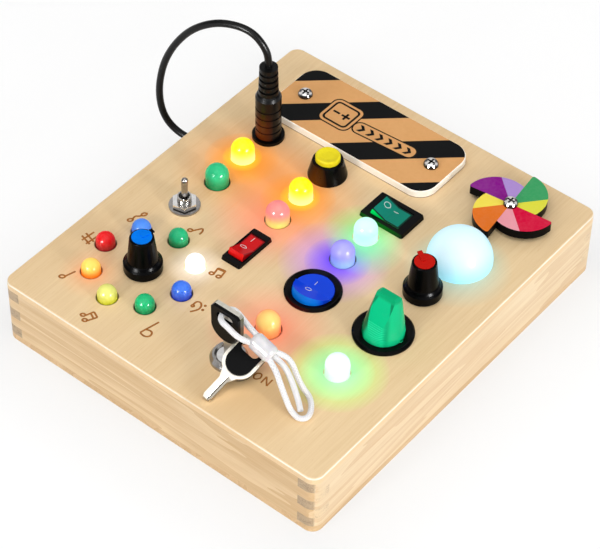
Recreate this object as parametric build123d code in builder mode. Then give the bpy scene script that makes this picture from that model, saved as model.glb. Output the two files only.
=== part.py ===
from build123d import *
import os
from math import cos, pi, radians, sin, tan

# Wooden busy board: a shallow box whose top panel carries lamps, switches, two dials, a key
# switch, a pinwheel, a battery cover and a plugged-in power lead. Millimetres, +Z up, +Y to the
# back of the board. The origin is the middle of the underside.

# ------------------------------------------------------------------ box
BOARD_WIDTH = 152.0
BOARD_DEPTH = 175.0
BOARD_HEIGHT = 30.0
PANEL_THICKNESS = 3.0
WALL_THICKNESS = 8.0
CORNER_RADIUS = 4.5
EDGE_ROUND = 0.8
FINGERS = 5
BOTTOM_SCREW_DIAMETER = 3.0
BOTTOM_SCREW_LENGTH = 14.0
BOTTOM_SCREW_HEAD = 6.0
BOTTOM_SCREW_INSET = 24.0
SCREW_POINT = 2.0
PILOT_MARGIN = 1.0

# ------------------------------------------------------------------ fits
HOLE_CLEARANCE = 0.15
RUNNING_CLEARANCE = 0.05
PLAY = 0.3

# ------------------------------------------------------------------ heights
TOP = BOARD_HEIGHT
UNDER = BOARD_HEIGHT - PANEL_THICKNESS
FLOOR = PANEL_THICKNESS


def spot(share_across, share_along):
    """A place on the top panel, as shares of its width and depth from the middle."""
    return (share_across * BOARD_WIDTH, share_along * BOARD_DEPTH)


# ------------------------------------------------------------------ places on the panel
LAMP_RING_AT = spot(-0.2586, -0.2786)
RED_DIAL_AT = spot(0.3257, 0.0520)
TOGGLE_AT = spot(-0.3257, -0.0760)
RED_ROCKER_AT = spot(-0.1026, -0.0920)
GREEN_ROCKER_AT = spot(0.1053, 0.1920)
BLUE_ROCKER_AT = spot(0.1151, -0.0949)
PADDLE_AT = spot(0.3329, -0.0931)
BUTTON_AT = spot(-0.1184, 0.2069)
DOME_LAMP_AT = spot(0.3283, 0.1829)
PINWHEEL_AT = spot(0.3316, 0.3646)
COVER_AT = spot(-0.1296, 0.3637)
JACK_AT = spot(-0.3283, 0.2177)
LOCK_AT = spot(0.1000, -0.3583)
ROUND_LAMPS_AT = [
    spot(-0.3178, 0.0274),
    spot(-0.3283, 0.1274),
    spot(-0.1184, 0.1120),
    spot(-0.1105, 0.0223),
    spot(0.0987, 0.1057),
    spot(0.1033, 0.0200),
    spot(0.1112, -0.2417),
    spot(0.3270, -0.2423),
]

# ------------------------------------------------------------------ lamps
RING_LAMP_COUNT = 8
RING_LAMP_CIRCLE = 39.4
RING_LAMP_TURN = -1.4
RING_LAMP_DIAMETER = 7.7
RING_LAMP_PROUD = 5.6
ROUND_LAMP_DIAMETER = 9.5
ROUND_LAMP_PROUD = 8.9
LAMP_HOLE_CLEARANCE = 0.4
LAMP_FLANGE = 1.0
LEG_LENGTH = 4.0
LEG_WIDTH = 0.6
LEG_SPACING = 2.54
RING_CARD_THICKNESS = 1.6
RING_CARD_BORE = 22.0
RING_CARD_MARGIN = 6.5
DOME_LAMP_DIAMETER = 25.8
DOME_LAMP_HEIGHT = 13.8
DOME_LAMP_WALL = 1.6

# ------------------------------------------------------------------ battery compartment
COVER_LENGTH = 81.6
COVER_WIDTH = 33.0
COVER_THICKNESS = 3.4
COVER_CORNER = 8.0
COVER_SCREW_MARGIN = 1.05
COVER_SCREW_DIAMETER = 3.0
COVER_SCREW_HEAD = 6.0
COVER_SCREW_HEAD_HEIGHT = 1.9
COVER_SCREW_REACH = 8.0
CELL_DIAMETER = 10.5
CELL_LENGTH = 44.5
CELL_COUNT = 2
NIPPLE_DIAMETER = 3.8
NIPPLE_LENGTH = 1.0
HOLDER_WALL = 1.2
HOLDER_END_ROOM = 3.4
HOLDER_LIP = 2.5
CONTACT_THICKNESS = 0.5
CONTACT_WIDTH = 8.4
CONTACT_SPRING_LENGTH = 2.2
CONTACT_SPRING_DIAMETER = 6.3

# ------------------------------------------------------------------ dials
POT_DIAMETER = 16.5
POT_DEPTH = 8.0
POT_END_WALL = 2.0
POT_TERMINAL_STRIP = (12.0, 7.0, 1.0)
POT_SHAFT_DIAMETER = 6.0
POT_BUSHING_DIAMETER = 7.0
POT_BUSHING_HEIGHT = 3.4
POT_NUT_ACROSS = 10.0
POT_NUT_HEIGHT = 2.0
DIAL_SKIRT_DIAMETER = 15.2
DIAL_SKIRT_HEIGHT = 4.2
DIAL_BODY_DIAMETER = 11.9
DIAL_TOP_DIAMETER = 9.5
DIAL_HEIGHT = 16.4
DIAL_FLOAT = 0.5
DIAL_SKIRT_STEP = 0.75
DIAL_SHOULDER_HEIGHT = 1.2
DIAL_WEB = 2.0
DIAL_EDGE = 0.3
DIAL_CAP_DIAMETER = 7.8
DIAL_CAP_DEPTH = 1.0
DIAL_CAP_PROUD = 0.3
POINTER_WIDTH = 1.9
POINTER_REACH = 5.3
POINTER_HEIGHT = 0.7
BLUE_POINTER_ANGLE = 78.0
RED_POINTER_ANGLE = 149.0

# ------------------------------------------------------------------ toggle switch
TOGGLE_BODY = (13.0, 8.0, 9.5)
TOGGLE_BUSHING_DIAMETER = 5.6
TOGGLE_BUSHING_HEIGHT = 5.5
TOGGLE_WASHER_DIAMETER = 12.5
TOGGLE_WASHER_THICKNESS = 0.8
TOGGLE_NUT_ACROSS = 9.0
TOGGLE_NUT_HEIGHT = 2.2
TOGGLE_BALL_DIAMETER = 4.4
TOGGLE_PIVOT_HEIGHT = 3.0
TOGGLE_LEVER_LENGTH = 13.8
TOGGLE_LEVER_TIP = 2.8
TOGGLE_LEVER_NECK = 2.4
TOGGLE_STUB_LENGTH = 4.5
TOGGLE_TILT = 9.0
TOGGLE_HEADING = -38.0
TOGGLE_TERMINAL = (0.8, 2.0, 4.0)
TOGGLE_TERMINAL_SHARE = 0.35
TOGGLE_STUB_DIAMETER = 1.6
TOGGLE_NUT_TURN = 12.0

# ------------------------------------------------------------------ rocker switches
ROCKER_TILT = 12.0
ROCKER_MIDDLE = 0.8
ROCKER_DROP = 2.5
ROCKER_PIN_DIAMETER = 1.4
ROCKER_PIN_REACH = 0.65
ROCKER_SINK = 0.3
HOUSING_DEPTH = 14.0
HOUSING_LIP = 0.5
BEZEL_CORNER = 1.0
BEZEL_TAPER = 12.0
BEZEL_BEVEL = 0.7
BEZEL_LAND = 1.2
BEZEL_DISH = 0.4
TERMINAL = (3.0, 0.8, 5.0)
TERMINAL_SHARE = 0.25
RED_BEZEL = (9.4, 20.0, 1.5)
RED_ROCKER_WIDTH = 7.0
RED_ROCKER_RADIUS = 6.8
GREEN_BEZEL = (15.0, 21.0, 1.8)
GREEN_ROCKER_WIDTH = 9.6
GREEN_ROCKER_RADIUS = 6.8
BLUE_BEZEL_DIAMETER = 22.3
BLUE_BEZEL_HEIGHT = 1.2
BLUE_ROCKER_RADIUS = 8.1
ROUND_HOUSING_DIAMETER = 20.0

# ------------------------------------------------------------------ paddle switch
PADDLE_BEZEL_DIAMETER = 23.6
PADDLE_BEZEL_HEIGHT = 1.6
PADDLE_RADIUS = 8.1
PADDLE_FOOT_HEIGHT = 2.0
PADDLE_HEIGHT = 18.1
PADDLE_TOP_RADIUS = 4.7
PADDLE_RIDGE_WIDTH = 6.9
PADDLE_RIDGE_THICKNESS = 3.2
PADDLE_EDGE_HEIGHT = 1.0
PADDLE_END_EDGE = 2.0
PADDLE_FACE_EDGE = 0.7
PADDLE_PIVOT_HEIGHT = 1.0
PADDLE_TILT = 7.8

# ------------------------------------------------------------------ push button
BUTTON_CAP_DIAMETER = 10.0
BUTTON_CAP_PROUD = 2.2
BUTTON_CAP_DEPTH = 7.0
BUTTON_RIM_DIAMETER = 12.4
BUTTON_BASE_DIAMETER = 15.9
BUTTON_HEIGHT = 8.2
BUTTON_THREAD_DIAMETER = 13.2
BUTTON_THREAD_DEPTH = 16.0
BUTTON_END_WALL = 1.5
BUTTON_WELL_DEPTH = 3.0
BUTTON_STEM_LENGTH = 5.0
BUTTON_FOOT_HEIGHT = 0.6
BUTTON_EDGE = 0.45
BUTTON_CAP_EDGE = 0.5
BUTTON_DISH = 0.45
BUTTON_STEM_DIAMETER = 3.0
BUTTON_NUT_ACROSS = 17.0
BUTTON_NUT_HEIGHT = 2.5
SPRING_OUTER_DIAMETER = 6.4
SPRING_INNER_DIAMETER = 3.8

# ------------------------------------------------------------------ pinwheel
PINWHEEL_TIP_RADIUS = 18.4
PINWHEEL_MIDDLE_RADIUS = 15.6
PINWHEEL_HEEL_RADIUS = 10.9
PINWHEEL_MIDDLE_SHARE = 0.456
PINWHEEL_FIRST_TIP = 6.8
PINWHEEL_BLADES = 4
PINWHEEL_THICKNESS = 4.0
PINWHEEL_TIP_ROUND = 0.9
PINWHEEL_SPACER_DIAMETER = 6.5
PINWHEEL_SPACER_HEIGHT = 1.9
PINWHEEL_SCREW_DIAMETER = 3.0
PINWHEEL_SCREW_HEAD = 5.8
PINWHEEL_SCREW_HEAD_HEIGHT = 2.0
PINWHEEL_NUT_ACROSS = 5.5
PINWHEEL_NUT_HEIGHT = 2.4
PINWHEEL_SCREW_SPARE = 1.0
AXIAL_GAP = 0.1

# ------------------------------------------------------------------ key switch
LOCK_FLANGE_DIAMETER = 14.4
LOCK_FLANGE_HEIGHT = 3.0
LOCK_BODY_DIAMETER = 11.8
LOCK_BODY_DEPTH = 15.0
LOCK_END_WALL = 2.0
LOCK_BEVEL_HEIGHT = 1.6
LOCK_BEVEL_WIDTH = 1.0
LOCK_FACE_SINK = 0.6
LOCK_LAND = 1.8
LOCK_ROTOR_DIAMETER = 9.0
LOCK_ROTOR_SINK = 0.7
LOCK_NUT_ACROSS = 15.0
LOCK_NUT_HEIGHT = 2.5
KEY_BLADE_WIDTH = 3.4
KEY_BLADE_THICKNESS = 1.8
KEY_BLADE_LENGTH = 11.9
KEY_HEAD_WIDTH = 12.8
KEY_HEAD_LENGTH = 15.8
KEY_COVER_THICKNESS = 1.3
KEY_INSERT_THICKNESS = 0.7
KEY_RIM = 1.2
KEY_SLOT_LENGTH = 7.6
KEY_SLOT_WIDTH = 3.6
KEY_SLOT_FROM_TOP = 3.6
KEY_CORNER_CUT = 1.0
KEY_INSERTED = 3.3
KEY_FIT = 0.1
KEY_TIP_CUT = (0.6, 1.2)
KEY_NECK_LENGTH = 2.5
KEY_SHOULDER = (4.2, 2.5)

# ------------------------------------------------------------------ power jack, plug and lead
JACK_FLANGE_DIAMETER = 13.2
JACK_FLANGE_HEIGHT = 1.5
JACK_BODY_DIAMETER = 11.0
JACK_BODY_DEPTH = 13.0
JACK_BORE_DIAMETER = 6.4
JACK_END_WALL = 2.0
JACK_NUT_ACROSS = 14.0
JACK_NUT_HEIGHT = 2.5
PLUG_PIN_DIAMETER = 5.5
PLUG_PIN_LENGTH = 9.5
PLUG_DIAMETER = 10.5
PLUG_TOP = 23.4
PLUG_SHOULDER = 1.9
PLUG_EDGE = 0.3
PLUG_SHOULDER_STEP = 0.6
PLUG_GROOVE_COUNT = 4
PLUG_GROOVE_DEPTH = 0.35
PLUG_GROOVE_WIDTH = 0.8
PLUG_GROOVE_PITCH = 3.6
RELIEF_DIAMETER = 8.2
RELIEF_TIP_DIAMETER = 7.4
RELIEF_HEIGHT = 13.4
RELIEF_RIB_COUNT = 4
RELIEF_RIB_DEPTH = 0.5
RELIEF_SPARE_PITCHES = 0.6
RELIEF_FIRST_GROOVE = 0.6
RELIEF_GROOVE_SHARE = 0.4
CUTTER_MARGIN = 1.0
LEAD_DIAMETER = 3.0
GROMMET_FLANGE_DIAMETER = 7.0
GROMMET_FLANGE_THICKNESS = 1.0
GROMMET_NECK_DIAMETER = 5.0

# The lead's route: up out of the plug, over to the left, down beside the board and in through
# the left wall.
LEAD_ROUTE = [
    (-49.9, 38.1, 65.8),
    (-49.9, 38.1, 71.0),
    (-51.5, 37.7, 76.1),
    (-56.4, 36.7, 81.3),
    (-63.6, 35.2, 82.3),
    (-72.9, 33.2, 79.9),
    (-82.7, 31.1, 72.8),
    (-90.3, 29.5, 62.6),
    (-95.9, 28.3, 50.6),
    (-98.7, 27.7, 37.5),
    (-98.8, 27.7, 27.0),
    (-96.5, 28.2, 18.9),
    (-91.4, 29.3, 13.9),
    (-84.6, 30.9, 11.9),
    (-77.2, 32.0, 11.5),
    (-70.0, 32.2, 11.4),
]
LEAD_ENTRY_Y = 32.1
LEAD_ENTRY_Z = 11.45

# ------------------------------------------------------------------ key lanyard
CORD_DIAMETER = 2.2
BEAD_DIAMETER = 7.0
BEAD_ROUND = 1.8
BEAD_START = (25.1, -60.8, 46.8)
BEAD_END = (34.7, -61.1, 43.8)
# From the bead, through the slot in the key's head and back to the bead.
KEY_LOOP_ROUTE = [
    (26.2, -62.3, 46.2),
    (24.6, -64.8, 48.3),
    (22.0, -66.5, 50.6),
    (18.7, -66.9, 52.9),
    (15.5, -66.9, 53.9),
    (13.4, -65.0, 53.8),
    (13.1, -60.3, 53.5),
    (14.9, -58.4, 53.1),
    (18.5, -58.5, 51.8),
    (22.4, -59.1, 49.9),
    (26.0, -59.4, 47.6),
]
# The long loop that hangs from the bead and lies on the board.
LONG_LOOP_ROUTE = [
    (34.0, -62.5, 43.2),
    (38.3, -64.0, 42.1),
    (42.5, -66.4, 39.5),
    (45.6, -67.6, 36.1),
    (48.2, -68.4, 32.9),
    (51.0, -69.0, 31.3),
    (53.8, -69.2, 31.2),
    (55.7, -67.0, 31.2),
    (54.7, -63.8, 31.2),
    (52.4, -60.8, 31.2),
    (49.6, -58.7, 31.5),
    (46.5, -58.5, 33.4),
    (43.3, -57.9, 36.7),
    (40.1, -56.6, 40.2),
    (36.9, -57.0, 42.8),
    (34.1, -59.3, 44.5),
]
# The cord's loose end, in the middle of the long loop.
LOOSE_END_ROUTE = [
    (34.3, -60.0, 42.4),
    (37.3, -59.9, 42.1),
    (41.2, -60.7, 40.3),
    (44.6, -62.2, 38.1),
    (48.0, -64.0, 35.8),
    (50.9, -65.8, 33.8),
]
# Where the spare key lies, from the middle of the lock at the panel's face: its tip on the
# board, its head leaning on the lock.
SPARE_KEY_TIP = (6.7, -21.1, 1.7)
SPARE_KEY_ACROSS = (0.935, 0.029, -0.353)
SPARE_KEY_FACE = (0.344, -0.309, 0.886)

ARC_SHARE = 0.45
BASE = (Align.CENTER, Align.CENTER, Align.MIN)
HANGING = (Align.CENTER, Align.CENTER, Align.MAX)
CROSS_SLOT_WIDTH = 0.8
CROSS_SLOT_DEPTH = 0.9
CROSS_SLOT_SHARE = 0.6
# A pan head's outline above its seat, as shares of its radius and height.
PAN_HEAD = [(1.0, 0.0), (1.0, 0.45), (0.85, 0.8), (0.5, 1.0), (0.0, 1.0)]


# ------------------------------------------------------------------ helpers
def save(piece, name):
    """Label a finished piece and write it as its own file."""
    piece.part.label = name
    export_step(piece.part, f"parts/{name}.step")


def upright(at, diameter, low, high, mode=Mode.ADD):
    """A round solid about a vertical axis, between two heights."""
    with Locations((at[0], at[1], low)):
        Cylinder(diameter / 2, high - low, align=BASE, mode=mode)


def block(at, size, low, high, turn=0.0, mode=Mode.ADD):
    """A rectangular solid centred on a place, between two heights."""
    with Locations(Location((at[0], at[1], low), (0, 0, turn))):
        Box(size[0], size[1], high - low, align=BASE, mode=mode)


def turned(at, profile, mode=Mode.ADD):
    """A solid turned about a vertical axis; the profile's points are (radius, height)."""
    with BuildSketch(Plane(origin=(at[0], at[1], 0), x_dir=(1, 0, 0), z_dir=(0, -1, 0))) as section:
        with BuildLine():
            Polyline(*profile, close=True)
        make_face()
    revolve(section.sketch, axis=Axis((at[0], at[1], 0), (0, 0, 1)), mode=mode)


def hexagon(at, across, low, high, turn=0.0):
    """A hexagonal solid, given by its size across flats."""
    with BuildSketch(Plane.XY.offset(low)) as outline:
        with Locations(Location((at[0], at[1], 0), (0, 0, turn))):
            RegularPolygon(across / 2, 6, major_radius=False)
    extrude(outline.sketch, amount=high - low)


def hex_nut(at, across, bore, low, high, turn=0.0):
    """A nut whose bore clears the thread that it holds."""
    hexagon(at, across, low, high, turn)
    upright(at, bore + 2 * RUNNING_CLEARANCE, low, high, Mode.SUBTRACT)


def cross_slot(at, length, top):
    """The cross recess of a screw head."""
    for turn in (0.0, 90.0):
        block(at, (length, CROSS_SLOT_WIDTH), top - CROSS_SLOT_DEPTH, top, turn, Mode.SUBTRACT)


def pan_head_screw(at, shank_diameter, head_diameter, head_height, seat, low, point):
    """A screw with a domed head on its seat; point is the length of its pointed end."""
    shank = shank_diameter / 2
    head = [(share * head_diameter / 2, seat + up * head_height) for share, up in PAN_HEAD]
    turned(at, [(0, low), (shank, low + point), (shank, seat), *head])
    cross_slot(at, head_diameter * CROSS_SLOT_SHARE, seat + head_height)


def rounded_plate(width, depth, radius, low, high):
    """A rectangular plate on the board's axis with rounded upright corners."""
    with BuildSketch(Plane.XY.offset(low)) as outline:
        RectangleRounded(width, depth, radius)
    extrude(outline.sketch, amount=high - low)


def corner_radii(route):
    """The largest arc that the two runs at each inner point of a route allow."""
    points = [Vector(*point) for point in route]
    radii = []
    for before, point, after in zip(points, points[1:], points[2:]):
        run_in = point - before
        run_out = after - point
        half_turn = radians(run_in.get_angle(run_out) / 2)
        radii.append(ARC_SHARE * min(run_in.length, run_out.length) / tan(half_turn))
    return radii


def tube(route, diameter):
    """A cord along straight runs joined by tangent arcs."""
    with BuildLine() as path:
        FilletPolyline(*route, radius=corner_radii(route))
    with BuildSketch(Plane(origin=path.line @ 0, z_dir=path.line % 0)) as section:
        Circle(diameter / 2)
    sweep(section.sketch, path=path.line)
    return sum(edge.length for edge in path.edges())


def report_route(name, route, length, solid_volume, diameter):
    """Print a cord's length, its tightest arc and how its volume compares with its section."""
    section = pi * diameter**2 / 4
    radii = " ".join(f"{radius:.1f}" for radius in corner_radii(route))
    print(f"{name}: length {length:.1f}, volume share {solid_volume / (section * length):.4f}, radii {radii}")


def local_plane(frame, plane):
    """A plane given in a frame's own coordinates."""
    return Plane(frame.location * plane.location)


os.makedirs("parts", exist_ok=True)


# ------------------------------------------------------------------ box panels
holder_length = CELL_LENGTH + 2 * (HOLDER_END_ROOM + HOLDER_WALL)
holder_width = CELL_COUNT * (CELL_DIAMETER + PLAY) + 2 * HOLDER_WALL
cover_screw_reach = holder_length / 2 + HOLDER_LIP + COVER_SCREW_MARGIN + COVER_SCREW_DIAMETER / 2
cover_screw_places = [
    (COVER_AT[0] - cover_screw_reach, COVER_AT[1]),
    (COVER_AT[0] + cover_screw_reach, COVER_AT[1]),
]
bottom_screw_places = [
    (side * (BOARD_WIDTH / 2 - BOTTOM_SCREW_INSET), end * (BOARD_DEPTH - WALL_THICKNESS) / 2)
    for side in (-1, 1)
    for end in (-1, 1)
] + [(side * (BOARD_WIDTH - WALL_THICKNESS) / 2, 0) for side in (-1, 1)]
ring_lamp_angles = [
    radians(RING_LAMP_TURN + step * 360 / RING_LAMP_COUNT) for step in range(RING_LAMP_COUNT)
]
ring_lamp_places = [
    (
        LAMP_RING_AT[0] + RING_LAMP_CIRCLE / 2 * cos(angle),
        LAMP_RING_AT[1] + RING_LAMP_CIRCLE / 2 * sin(angle),
    )
    for angle in ring_lamp_angles
]

with BuildPart() as bottom_panel:
    rounded_plate(BOARD_WIDTH, BOARD_DEPTH, CORNER_RADIUS, 0, FLOOR)
    for place in bottom_screw_places:
        upright(place, BOTTOM_SCREW_DIAMETER + 2 * HOLE_CLEARANCE, 0, FLOOR, Mode.SUBTRACT)
        with Locations(place):
            Cone(
                BOTTOM_SCREW_HEAD / 2 + HOLE_CLEARANCE,
                BOTTOM_SCREW_DIAMETER / 2 + HOLE_CLEARANCE,
                (BOTTOM_SCREW_HEAD - BOTTOM_SCREW_DIAMETER) / 2,
                align=BASE,
                mode=Mode.SUBTRACT,
            )
save(bottom_panel, "bottom_panel")

finger_height = (UNDER - FLOOR) / FINGERS


def finger_band(number):
    """The lower and upper height of one finger of the corner joints."""
    return FLOOR + number * finger_height, FLOOR + (number + 1) * finger_height


def corner_rounding():
    """Keep only what lies inside the box's rounded outline."""
    with BuildSketch(Plane.XY.offset(FLOOR)) as outline:
        RectangleRounded(BOARD_WIDTH, BOARD_DEPTH, CORNER_RADIUS)
    extrude(outline.sketch, amount=UNDER - FLOOR, mode=Mode.INTERSECT)


def pilot_holes():
    """Holes that the bottom panel's screws turn into."""
    for place in bottom_screw_places:
        upright(
            place,
            BOTTOM_SCREW_DIAMETER + 2 * RUNNING_CLEARANCE,
            FLOOR,
            BOTTOM_SCREW_LENGTH + PILOT_MARGIN,
            Mode.SUBTRACT,
        )


def side_wall(side, with_lead_hole):
    """A left or right wall; its odd fingers run through to the front and back faces."""
    middle = side * (BOARD_WIDTH - WALL_THICKNESS) / 2
    with BuildPart() as wall:
        block((middle, 0), (WALL_THICKNESS, BOARD_DEPTH - 2 * WALL_THICKNESS), FLOOR, UNDER)
        for number in range(0, FINGERS, 2):
            low, high = finger_band(number)
            block((middle, 0), (WALL_THICKNESS, BOARD_DEPTH), low, high)
        corner_rounding()
        pilot_holes()
        if with_lead_hole:
            with Locations(Location((-BOARD_WIDTH / 2, LEAD_ENTRY_Y, LEAD_ENTRY_Z), (0, 90, 0))):
                Cylinder(
                    GROMMET_NECK_DIAMETER / 2 + RUNNING_CLEARANCE, 3 * WALL_THICKNESS, mode=Mode.SUBTRACT
                )
    return wall


def end_wall(end):
    """A front or back wall; its even fingers run through to the left and right faces."""
    middle = end * (BOARD_DEPTH - WALL_THICKNESS) / 2
    with BuildPart() as wall:
        block((0, middle), (BOARD_WIDTH - 2 * WALL_THICKNESS, WALL_THICKNESS), FLOOR, UNDER)
        for number in range(1, FINGERS, 2):
            low, high = finger_band(number)
            block((0, middle), (BOARD_WIDTH, WALL_THICKNESS), low, high)
        corner_rounding()
        pilot_holes()
    return wall


save(side_wall(-1, True), "left_wall")
save(side_wall(1, False), "right_wall")
save(end_wall(-1), "front_wall")
save(end_wall(1), "back_wall")

with BuildPart() as bottom_screws:
    for place in bottom_screw_places:
        turned(
            place,
            [
                (0, 0),
                (BOTTOM_SCREW_HEAD / 2, 0),
                (BOTTOM_SCREW_DIAMETER / 2, (BOTTOM_SCREW_HEAD - BOTTOM_SCREW_DIAMETER) / 2),
                (BOTTOM_SCREW_DIAMETER / 2, BOTTOM_SCREW_LENGTH - SCREW_POINT),
                (0, BOTTOM_SCREW_LENGTH),
            ],
        )
        cross_slot(place, BOTTOM_SCREW_HEAD / 2, CROSS_SLOT_DEPTH)
save(bottom_screws, "bottom_screws")

rocker_holes = [
    (RED_ROCKER_AT, RED_BEZEL, 0.0),
    (GREEN_ROCKER_AT, GREEN_BEZEL, -90.0),
]
round_holes = [
    (LAMP_RING_AT, POT_BUSHING_DIAMETER, HOLE_CLEARANCE),
    (RED_DIAL_AT, POT_BUSHING_DIAMETER, HOLE_CLEARANCE),
    (TOGGLE_AT, TOGGLE_BUSHING_DIAMETER, HOLE_CLEARANCE),
    (BLUE_ROCKER_AT, ROUND_HOUSING_DIAMETER, HOLE_CLEARANCE),
    (PADDLE_AT, ROUND_HOUSING_DIAMETER, HOLE_CLEARANCE),
    (BUTTON_AT, BUTTON_THREAD_DIAMETER, HOLE_CLEARANCE),
    (DOME_LAMP_AT, ROUND_LAMP_DIAMETER, LAMP_HOLE_CLEARANCE),
    (PINWHEEL_AT, PINWHEEL_SCREW_DIAMETER, HOLE_CLEARANCE),
    (JACK_AT, JACK_BODY_DIAMETER, HOLE_CLEARANCE),
    (LOCK_AT, LOCK_BODY_DIAMETER, HOLE_CLEARANCE),
]
round_holes += [(place, RING_LAMP_DIAMETER, LAMP_HOLE_CLEARANCE) for place in ring_lamp_places]
round_holes += [(place, ROUND_LAMP_DIAMETER, LAMP_HOLE_CLEARANCE) for place in ROUND_LAMPS_AT]
round_holes += [(place, COVER_SCREW_DIAMETER, RUNNING_CLEARANCE) for place in cover_screw_places]

with BuildPart() as top_panel:
    rounded_plate(BOARD_WIDTH, BOARD_DEPTH, CORNER_RADIUS, UNDER, TOP)
    fillet(top_panel.faces().sort_by(Axis.Z)[-1].edges(), EDGE_ROUND)
    block(
        COVER_AT,
        (holder_length + 2 * HOLE_CLEARANCE, holder_width + 2 * HOLE_CLEARANCE),
        UNDER,
        TOP,
        mode=Mode.SUBTRACT,
    )
    for place, bezel, turn in rocker_holes:
        opening = [size - 2 * HOUSING_LIP + 2 * HOLE_CLEARANCE for size in bezel[:2]]
        block(place, opening, UNDER, TOP, turn, Mode.SUBTRACT)
    for place, diameter, clearance in round_holes:
        upright(place, diameter + 2 * clearance, UNDER, TOP, Mode.SUBTRACT)
save(top_panel, "top_panel")


# ------------------------------------------------------------------ lamps
def lamp(at, diameter, proud):
    """A domed lens, its flange under the panel and its two legs."""
    spring_line = TOP + proud - diameter / 2
    upright(at, diameter, UNDER, spring_line)
    with Locations((at[0], at[1], spring_line)):
        Sphere(diameter / 2, arc_size1=0, align=BASE)
    upright(at, diameter + 2 * LAMP_FLANGE, UNDER - LAMP_FLANGE, UNDER)
    for side in (-1, 1):
        leg_at = (at[0] + side * LEG_SPACING / 2, at[1])
        block(leg_at, (LEG_WIDTH, LEG_WIDTH), UNDER - LAMP_FLANGE - LEG_LENGTH, UNDER - LAMP_FLANGE)


with BuildPart() as ring_lamps:
    for place in ring_lamp_places:
        lamp(place, RING_LAMP_DIAMETER, RING_LAMP_PROUD)
save(ring_lamps, "ring_lamps")

with BuildPart() as round_lamps:
    for place in ROUND_LAMPS_AT + [DOME_LAMP_AT]:
        lamp(place, ROUND_LAMP_DIAMETER, ROUND_LAMP_PROUD)
save(round_lamps, "round_lamps")

ring_card_top = UNDER - LAMP_FLANGE - LEG_LENGTH
with BuildPart() as ring_lamp_card:
    upright(
        LAMP_RING_AT,
        RING_LAMP_CIRCLE + 2 * RING_CARD_MARGIN,
        ring_card_top - RING_CARD_THICKNESS,
        ring_card_top,
    )
    upright(
        LAMP_RING_AT,
        RING_CARD_BORE,
        ring_card_top - RING_CARD_THICKNESS,
        ring_card_top,
        Mode.SUBTRACT,
    )
save(ring_lamp_card, "ring_lamp_card")

with BuildPart() as dome_lamp:
    dome_radius = DOME_LAMP_DIAMETER / 2
    dome_base = TOP + DOME_LAMP_HEIGHT - dome_radius
    upright(DOME_LAMP_AT, DOME_LAMP_DIAMETER, TOP, dome_base)
    with Locations((*DOME_LAMP_AT, dome_base)):
        Sphere(dome_radius, arc_size1=0, align=BASE)
    upright(DOME_LAMP_AT, DOME_LAMP_DIAMETER - 2 * DOME_LAMP_WALL, TOP, dome_base, Mode.SUBTRACT)
    with Locations((*DOME_LAMP_AT, dome_base)):
        Sphere(dome_radius - DOME_LAMP_WALL, arc_size1=0, align=BASE, mode=Mode.SUBTRACT)
save(dome_lamp, "dome_lamp")


# ------------------------------------------------------------------ battery compartment
cover_top = TOP + COVER_THICKNESS
with BuildPart() as battery_cover:
    with BuildSketch(Plane.XY.offset(TOP)):
        with Locations(COVER_AT):
            RectangleRounded(COVER_LENGTH, COVER_WIDTH, COVER_CORNER)
    extrude(amount=COVER_THICKNESS)
    chamfer(battery_cover.faces().sort_by(Axis.Z)[-1].edges(), EDGE_ROUND / 2)
    for place in cover_screw_places:
        upright(place, COVER_SCREW_DIAMETER + 2 * HOLE_CLEARANCE, TOP, cover_top, Mode.SUBTRACT)
save(battery_cover, "battery_cover")

with BuildPart() as cover_screws:
    for place in cover_screw_places:
        pan_head_screw(
            place,
            COVER_SCREW_DIAMETER,
            COVER_SCREW_HEAD,
            COVER_SCREW_HEAD_HEIGHT,
            cover_top,
            cover_top - COVER_SCREW_REACH,
            COVER_SCREW_DIAMETER / 2,
        )
save(cover_screws, "cover_screws")

holder_top = TOP - PLAY
holder_floor = holder_top - CELL_DIAMETER - PLAY
with BuildPart() as battery_holder:
    block(COVER_AT, (holder_length, holder_width), holder_floor - HOLDER_WALL, holder_top)
    block(
        COVER_AT,
        (holder_length + 2 * HOLDER_LIP, holder_width + 2 * HOLDER_LIP),
        UNDER - HOLDER_WALL,
        UNDER,
    )
    block(
        COVER_AT,
        (holder_length - 2 * HOLDER_WALL, holder_width - 2 * HOLDER_WALL),
        holder_floor,
        holder_top,
        mode=Mode.SUBTRACT,
    )
save(battery_holder, "battery_holder")

cell_rows = [
    COVER_AT[1] + (row - (CELL_COUNT - 1) / 2) * (CELL_DIAMETER + PLAY) for row in range(CELL_COUNT)
]
cell_middle = holder_floor + CELL_DIAMETER / 2
with BuildPart() as batteries:
    for row, y in enumerate(cell_rows):
        facing = 1 - 2 * (row % 2)
        with Locations(Location((COVER_AT[0], y, cell_middle), (0, 90, 0))):
            Cylinder(CELL_DIAMETER / 2, CELL_LENGTH - 2 * NIPPLE_LENGTH)
        nipple_x = COVER_AT[0] + facing * (CELL_LENGTH - NIPPLE_LENGTH) / 2
        with Locations(Location((nipple_x, y, cell_middle), (0, 90, 0))):
            Cylinder(NIPPLE_DIAMETER / 2, NIPPLE_LENGTH)
save(batteries, "batteries")

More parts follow.
